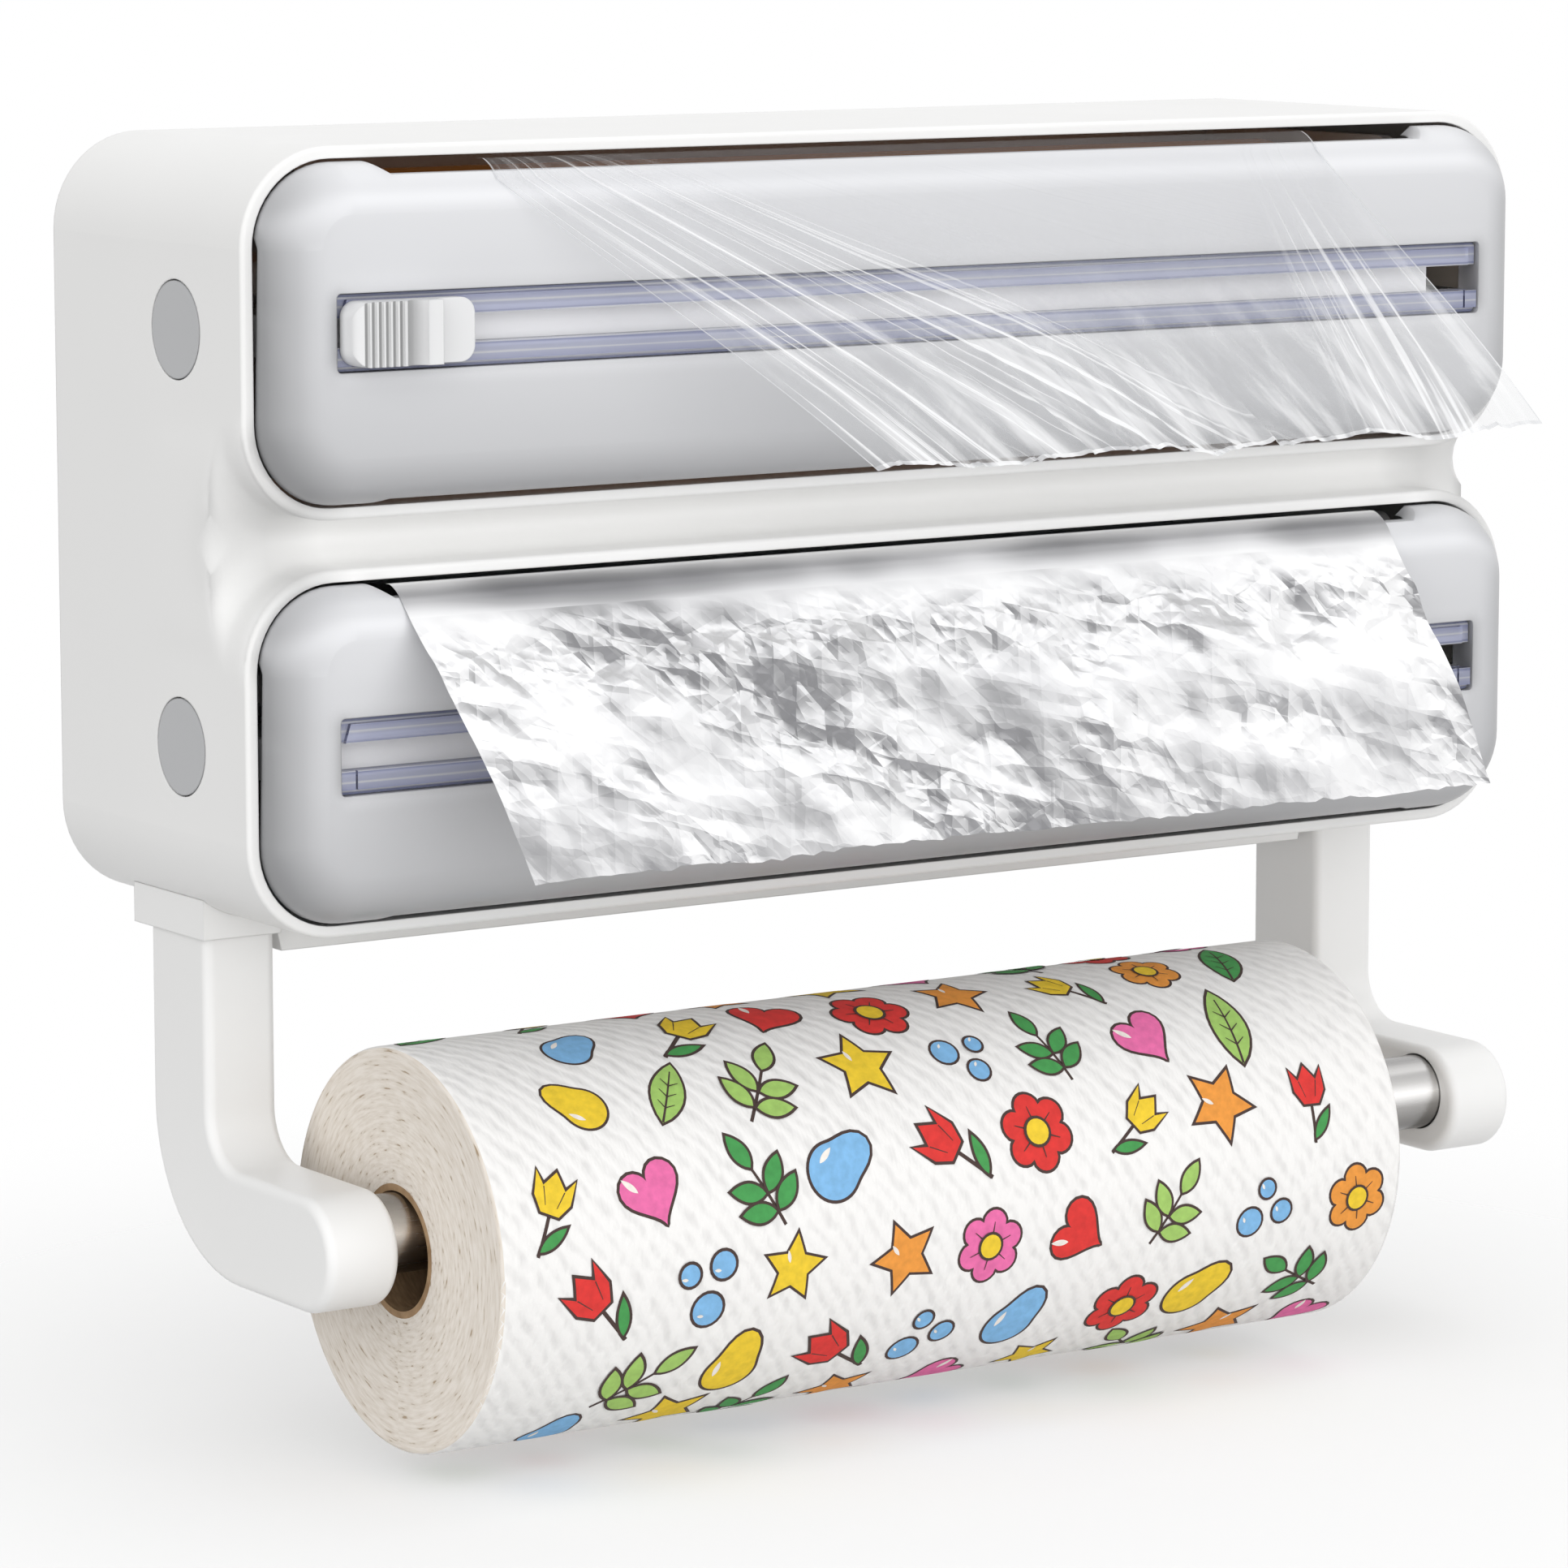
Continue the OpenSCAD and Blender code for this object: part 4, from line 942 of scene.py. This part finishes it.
def film_material():
    """Thin clear film: a faint veil, with creases that fan out from both upper corners and streaks low down,
    both bright as painted highlights.
    """
    s = Shader("cling_film", (0.95, 0.955, 0.965), 0.14, IOR=1.45)
    uv = s.coords("UV")
    place = s.split(uv)
    across, low = place["X"], s.minus(1.0, place["Y"])
    left = film_fan(s, across, low, top=0.15, spread=0.55, count=46.0, seed=0.0)
    right = film_fan(s, s.minus(1.0, across), low, top=0.07, spread=0.24, count=19.0, seed=4.0)
    right = s.times(right, s.shade(low, 0.15, 1.0, start=0.3, end=0.65))
    hang_low = s.ramp(low, (0.45, BLACK), (0.95, FULL))
    # painted highlights: bright streaks low on the film
    painted_highlight = s.noise(s.stretch(uv, (26, 2.2, 1), turn=5), 1.0, rough=0.55)
    painted_highlight = s.times(s.ramp(painted_highlight, (0.46, grey(0.1)), (0.70, FULL)), hang_low)
    shine = s.plus(s.most(left, right), s.times(painted_highlight, 0.5))
    shine = s.times(shine, s.shade(low, 0.35, 1.0, start=0.1, end=0.4))
    from_middle = s.size(s.minus(across, 0.5))
    hem = s.most(s.math("GREATER_THAN", low, 0.990), s.math("GREATER_THAN", from_middle, 0.498))
    bright = s.math("MINIMUM", 1.0, s.times(shine, 1.6))
    s.color(s.ramp(bright, (0.0, (0.60, 0.61, 0.63)), (0.5, (0.88, 0.885, 0.895))))
    veil = s.plus(0.09, s.times(hang_low, 0.12))
    s.alpha(s.math("MINIMUM", 0.92, s.plus(veil, shine, s.times(hem, 0.45))))
    s.mat.surface_render_method = "BLENDED"
    return s.mat


def make_film():
    rng = random.Random(11)
    ridges = film_ridges(rng)
    ragged = [rng.uniform(-HEM_DEEP, HEM_DEEP) for _ in range(HEM_STEPS + 2)]
    rows = side_path(FILM_END, slot_rows=6, lip_rows=10, fall_rows=70)
    points, uvs = [], []
    for i, (out, up, q) in enumerate(rows):
        for j in range(FILM_COLS + 1):
            t = j / FILM_COLS
            x = blend(blend(*FILM_TOP, t), blend(*FILM_LOW, t), q)
            k = min(HEM_STEPS, int(t * HEM_STEPS))
            f = t * HEM_STEPS - k
            slip = blend(ragged[k], ragged[k + 1], f * f * (3 - 2 * f)) * q ** HEM_POWER
            points.append(sheet_point("film", x, out, up, film_swell(ridges, t, q), slip))
            uvs.append((t, 1 - i / (len(rows) - 1)))
    wide = FILM_COLS + 1
    firsts = [i * wide + j for i in range(len(rows) - 1) for j in range(FILM_COLS)]
    faces = [(a, a + wide, a + wide + 1, a + 1) for a in firsts]
    film = sheet_piece("hanging_film", points, faces, uvs, film_material())
    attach(film, "film_cover")
    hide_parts("film_sheet")


# foil in mm: width, fall, length of its uv, its sides at the slot and the hem, and the hem from the hinge
FOIL_W, FOIL_L, FOIL_UV = 305.0, 92.0, 100
FOIL_TOP, FOIL_LOW, FOIL_END = (-157, 148), (-151, 142), (60, -54.8)
# points of its mesh: spacing, scatter, even columns, rows back from the lip and their step, and first row
FACET, SCATTER, EVEN_COLS = 2.5, 0.42, 100
BACK_ROWS, BACK_STEP, FIRST_ROW = 12, 1.5, 3.0
# jolt of a single point, ragged hem in mm, and how close to the edge the hem stays
FOIL_JOLT, FOIL_RAGGED, FOIL_HEM_POWER = 0.03, 0.5, 8
# trough that slants across the foil: place at the top and lean, as shares of the width, and depth in mm
TROUGH_TOP, TROUGH_LEAN, TROUGH_DEEP = 0.15, 0.33, 2.6
# crinkled patches: strength, then place and width across and down
PATCHES = ((1.0, 0.84, 0.11, 0.40, 0.25), (0.7, 0.77, 0.09, 0.88, 0.14))
# folds of the foil: size in mm, steepness, turn in degrees and seed
FOLDS = ((32, 0.13, 25, 1.3), (16, -0.12, 60, 5.3))
# warp of the folds: size of its waves and shift in mm
WARP_SIZE, WARP = 20, 4
# shares of the fall where the foil is smooth and over which its folds grow, and how calm the hem is
SMOOTH, GROW, HEM_CALM = 0.1, 0.15, 0.55
# broad wave: height in mm, degrees across, start and degrees down; and how far the hem stands out in mm
WAVE_HIGH, WAVE_ACROSS, WAVE_START, WAVE_DOWN, HEM_OUT = 0.9, 540, 70, 260, 0.8
# dents: height, size across and size down in mm
DENT_HIGH, DENT_ACROSS, DENT_DOWN = 2.6, 42, 34
# fine crinkles, which are shading only: size in mm, steepness, turn in degrees and kind of cell
CRINKLES = ((19, 0.17, -25, "CHEBYCHEV"), (10, -0.15, 65, "EUCLIDEAN"), (5, 0.08, 15, "CHEBYCHEV"))


def foil_folds(x, y):
    """Pyramids of several sizes, whose flat sides meet in straight creases."""
    x, y = (x + WARP * noise.noise((x / WARP_SIZE, y / WARP_SIZE, 30.0)),
            y + WARP * noise.noise((x / WARP_SIZE, y / WARP_SIZE, 40.0)))
    height = 0.0
    for size, steep, turn, seed in FOLDS:
        c, s = math.cos(math.radians(turn)), math.sin(math.radians(turn))
        spot = ((x * c - y * s) / size, (x * s + y * c) / size, seed)
        height += steep * size * noise.voronoi(spot, distance_metric="CHEBYCHEV")[0][0]
    return height


def foil_creased(t, q):
    """How much the foil is folded: below the edge, along a slanting trough and in two patches."""
    creased = 0.1 + hill(t, TROUGH_TOP + TROUGH_LEAN * q, 0.08) + 0.7 * hill(q, 0.25, 0.13)
    for strong, across, wide, down, long in PATCHES:
        creased += strong * hill(t, across, wide) * hill(q, down, long)
    return min(1.0, creased)


def foil_swell(t, q, jolt):
    """Height in mm of the foil: smooth over the edge, then a trough, broad dents and folds."""
    if q <= 0:
        return 0.0
    x, y = t * FOIL_W, q * FOIL_L
    grow = min(1.0, max(0.0, q - SMOOTH) / GROW)
    steady = 1 - HEM_CALM * q ** 4
    trough = -TROUGH_DEEP * hill(t, TROUGH_TOP + TROUGH_LEAN * q, 0.1) * math.sin(math.pi * q)
    wave = math.sin(math.radians(WAVE_ACROSS * t + WAVE_START)) * math.sin(math.radians(WAVE_DOWN * q))
    broad = trough + WAVE_HIGH * wave + HEM_OUT * q
    dents = DENT_HIGH * noise.noise((x / DENT_ACROSS, y / DENT_DOWN, 5.0))
    folds = (0.3 + 0.7 * foil_creased(t, q)) * foil_folds(x, y)
    return steady * (q * broad + grow * dents) + grow * (folds + FOIL_JOLT * jolt)


def foil_points(pick):
    """Scattered points over the flat foil in mm, with even rows along its edges and over the slot's lip."""
    back = [-BACK_STEP * k for k in range(1, BACK_ROWS + 1)]
    across = [FOIL_W * i / EVEN_COLS for i in range(EVEN_COLS + 1)]
    points = [(x, y) for y in back + [0.0, FIRST_ROW] for x in across]
    rows, cols = int((FOIL_L - FIRST_ROW) / FACET), int(FOIL_W / FACET)
    for j in range(1, rows):
        y = FIRST_ROW + (FOIL_L - FIRST_ROW) * j / rows
        points += [(0.0, y), (FOIL_W, y)]
        for i in range(1, cols):
            x = (i + pick.uniform(-SCATTER, SCATTER)) * FOIL_W / cols
            points.append((x, y + pick.uniform(-SCATTER, SCATTER) * FACET))
    return points + [(x, FOIL_L) for x in across]


def foil_material():
    """Bright foil with a painted reflection: white facets, grey where they turn down and to the left, painted
    shade along the trough and over the lip at the top, and fine crinkles.
    """
    s = Shader("crinkled_foil", (0.90, 0.90, 0.905), 0.3, metal=0.6)
    uv = s.coords("UV")
    flat = s.stretch(uv, (FOIL_W * MM, FOIL_UV * MM, 1))
    place = s.split(uv)
    trough = s.bell(s.plus(place["X"], s.times(place["Y"], 0.38)), 0.47, 0.085)
    spread = s.shade(s.noise(flat, 28.0, detail=2.0), 0.0, 0.8, start=0.47, end=0.66)
    under_edge = s.times(s.bell(place["Y"], 0.66, 0.12), 0.8)
    busy = s.shade(s.most(trough, s.most(spread, under_edge)), 0.16, 1.0)
    busy = s.times(busy, s.shade(place["Y"], 1.0, 0.0, start=0.72, end=0.84))
    height = 0.0
    for size, steep, angle, kind in CRINKLES:
        cell = s.node("ShaderNodeTexVoronoi", voronoi_dimensions="2D", distance=kind, Scale=1 / (size * MM))
        s.link(s.stretch(flat, turn=angle), cell.inputs["Vector"])
        height = s.math("MULTIPLY_ADD", cell.outputs["Distance"], steep * size * MM, height)
    face = s.in_object(s.bump(s.times(height, busy), strength=1.0, distance=1.0))
    # painted reflection: the tone follows how each facet turns, with random clouds of grey
    turn = s.size(s.dot(face, (0.75, 0.15, 0.65)))
    cloud = s.times(s.minus(s.noise(flat, 14.0, detail=2.0), 0.42), 0.6)
    # painted shade over the lip at the top, and along the trough below it
    edge = s.shade(place["Y"], 0.0, 0.27, start=0.84, end=0.91)
    tone = s.minus(s.plus(turn, cloud), s.times(trough, 0.15), edge)
    s.color(s.ramp(tone, (0.04, (0.25, 0.25, 0.26)), (0.16, (0.43, 0.43, 0.44)),
                   (0.27, (0.72, 0.72, 0.73)), (0.38, (0.885, 0.885, 0.89))))
    s.rough(s.shade(s.noise(flat, 60.0), 0.26, 0.42))
    return s.mat


def make_foil():
    path = side_path(FOIL_END, slot_rows=6, lip_rows=20, fall_rows=104)
    fall = next(i for i, row in enumerate(path) if row[2] > 0) - 1
    along = [0.0]
    for a, b in zip(path, path[1:]):
        along.append(along[-1] + math.dist(a[:2], b[:2]))
    along = [v - along[fall] for v in along]
    stretch = along[-1] / FOIL_L
    pick = random.Random(21)
    flat = foil_points(pick)
    jolts = [pick.uniform(-1, 1) for _ in flat]
    ragged = [pick.uniform(-FOIL_RAGGED, FOIL_RAGGED) for _ in flat]
    net = delaunay_2d_cdt([Vector(p) for p in flat], [], [], ALL_FACES, 1e-6)
    points, uvs = [], []
    for (x, y), came in zip(net[0], net[3]):
        t, y = x / FOIL_W, max(along[0], y * stretch if y > 0 else y)
        k = min(len(path) - 2, max(0, bisect.bisect_right(along, y) - 1))
        f = (y - along[k]) / (along[k + 1] - along[k])
        out, up, q = (blend(path[k][n], path[k + 1][n], f) for n in range(3))
        x = blend(blend(*FOIL_TOP, t), blend(*FOIL_LOW, t), q)
        lift = foil_swell(t, q, jolts[came[0]])
        slip = ragged[came[0]] * q ** FOIL_HEM_POWER
        points.append(sheet_point("foil", x, out, up, lift, slip))
        uvs.append((t, 1 - (y - along[0]) / (along[-1] - along[0])))
    foil = sheet_piece("hanging_foil", points, [tuple(f) for f in net[2]], uvs, foil_material())
    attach(foil, "foil_cover")
    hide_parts("foil_sheet")


make_film()
make_foil()

# floor in metres: radius, place, gap under the part, and how its shadow fades with the distance
FLOOR_R, FLOOR_Y, FLOOR_GAP = 1.6, -0.08, 0.008
SHADOW, SHADOW_NEAR, SHADOW_FAR = 0.6, 0.12, 0.42


def make_floor():
    """Pale floor that keeps the part's shadow and fades into the white around it."""
    bm = bmesh.new()
    bmesh.ops.create_circle(bm, cap_ends=True, segments=64, radius=FLOOR_R)
    mesh = bpy.data.meshes.new("floor")
    bm.to_mesh(mesh)
    bm.free()
    floor = new_object("floor", mesh)
    floor.location = (0, FLOOR_Y, cad_low.z - FLOOR_GAP)
    s = Shader("pale_floor", grey(0.97), 0.9, Specular_IOR_Level=0.0)
    at = s.coords()
    s.color(s.mottle(s.noise(at, 3.0), grey(0.965), grey(0.98)))
    s.alpha(s.shade(s.length(at), SHADOW, 0.0, SHADOW_NEAR, SHADOW_FAR, way="SMOOTHSTEP"))
    mesh.materials.append(s.mat)


make_floor()
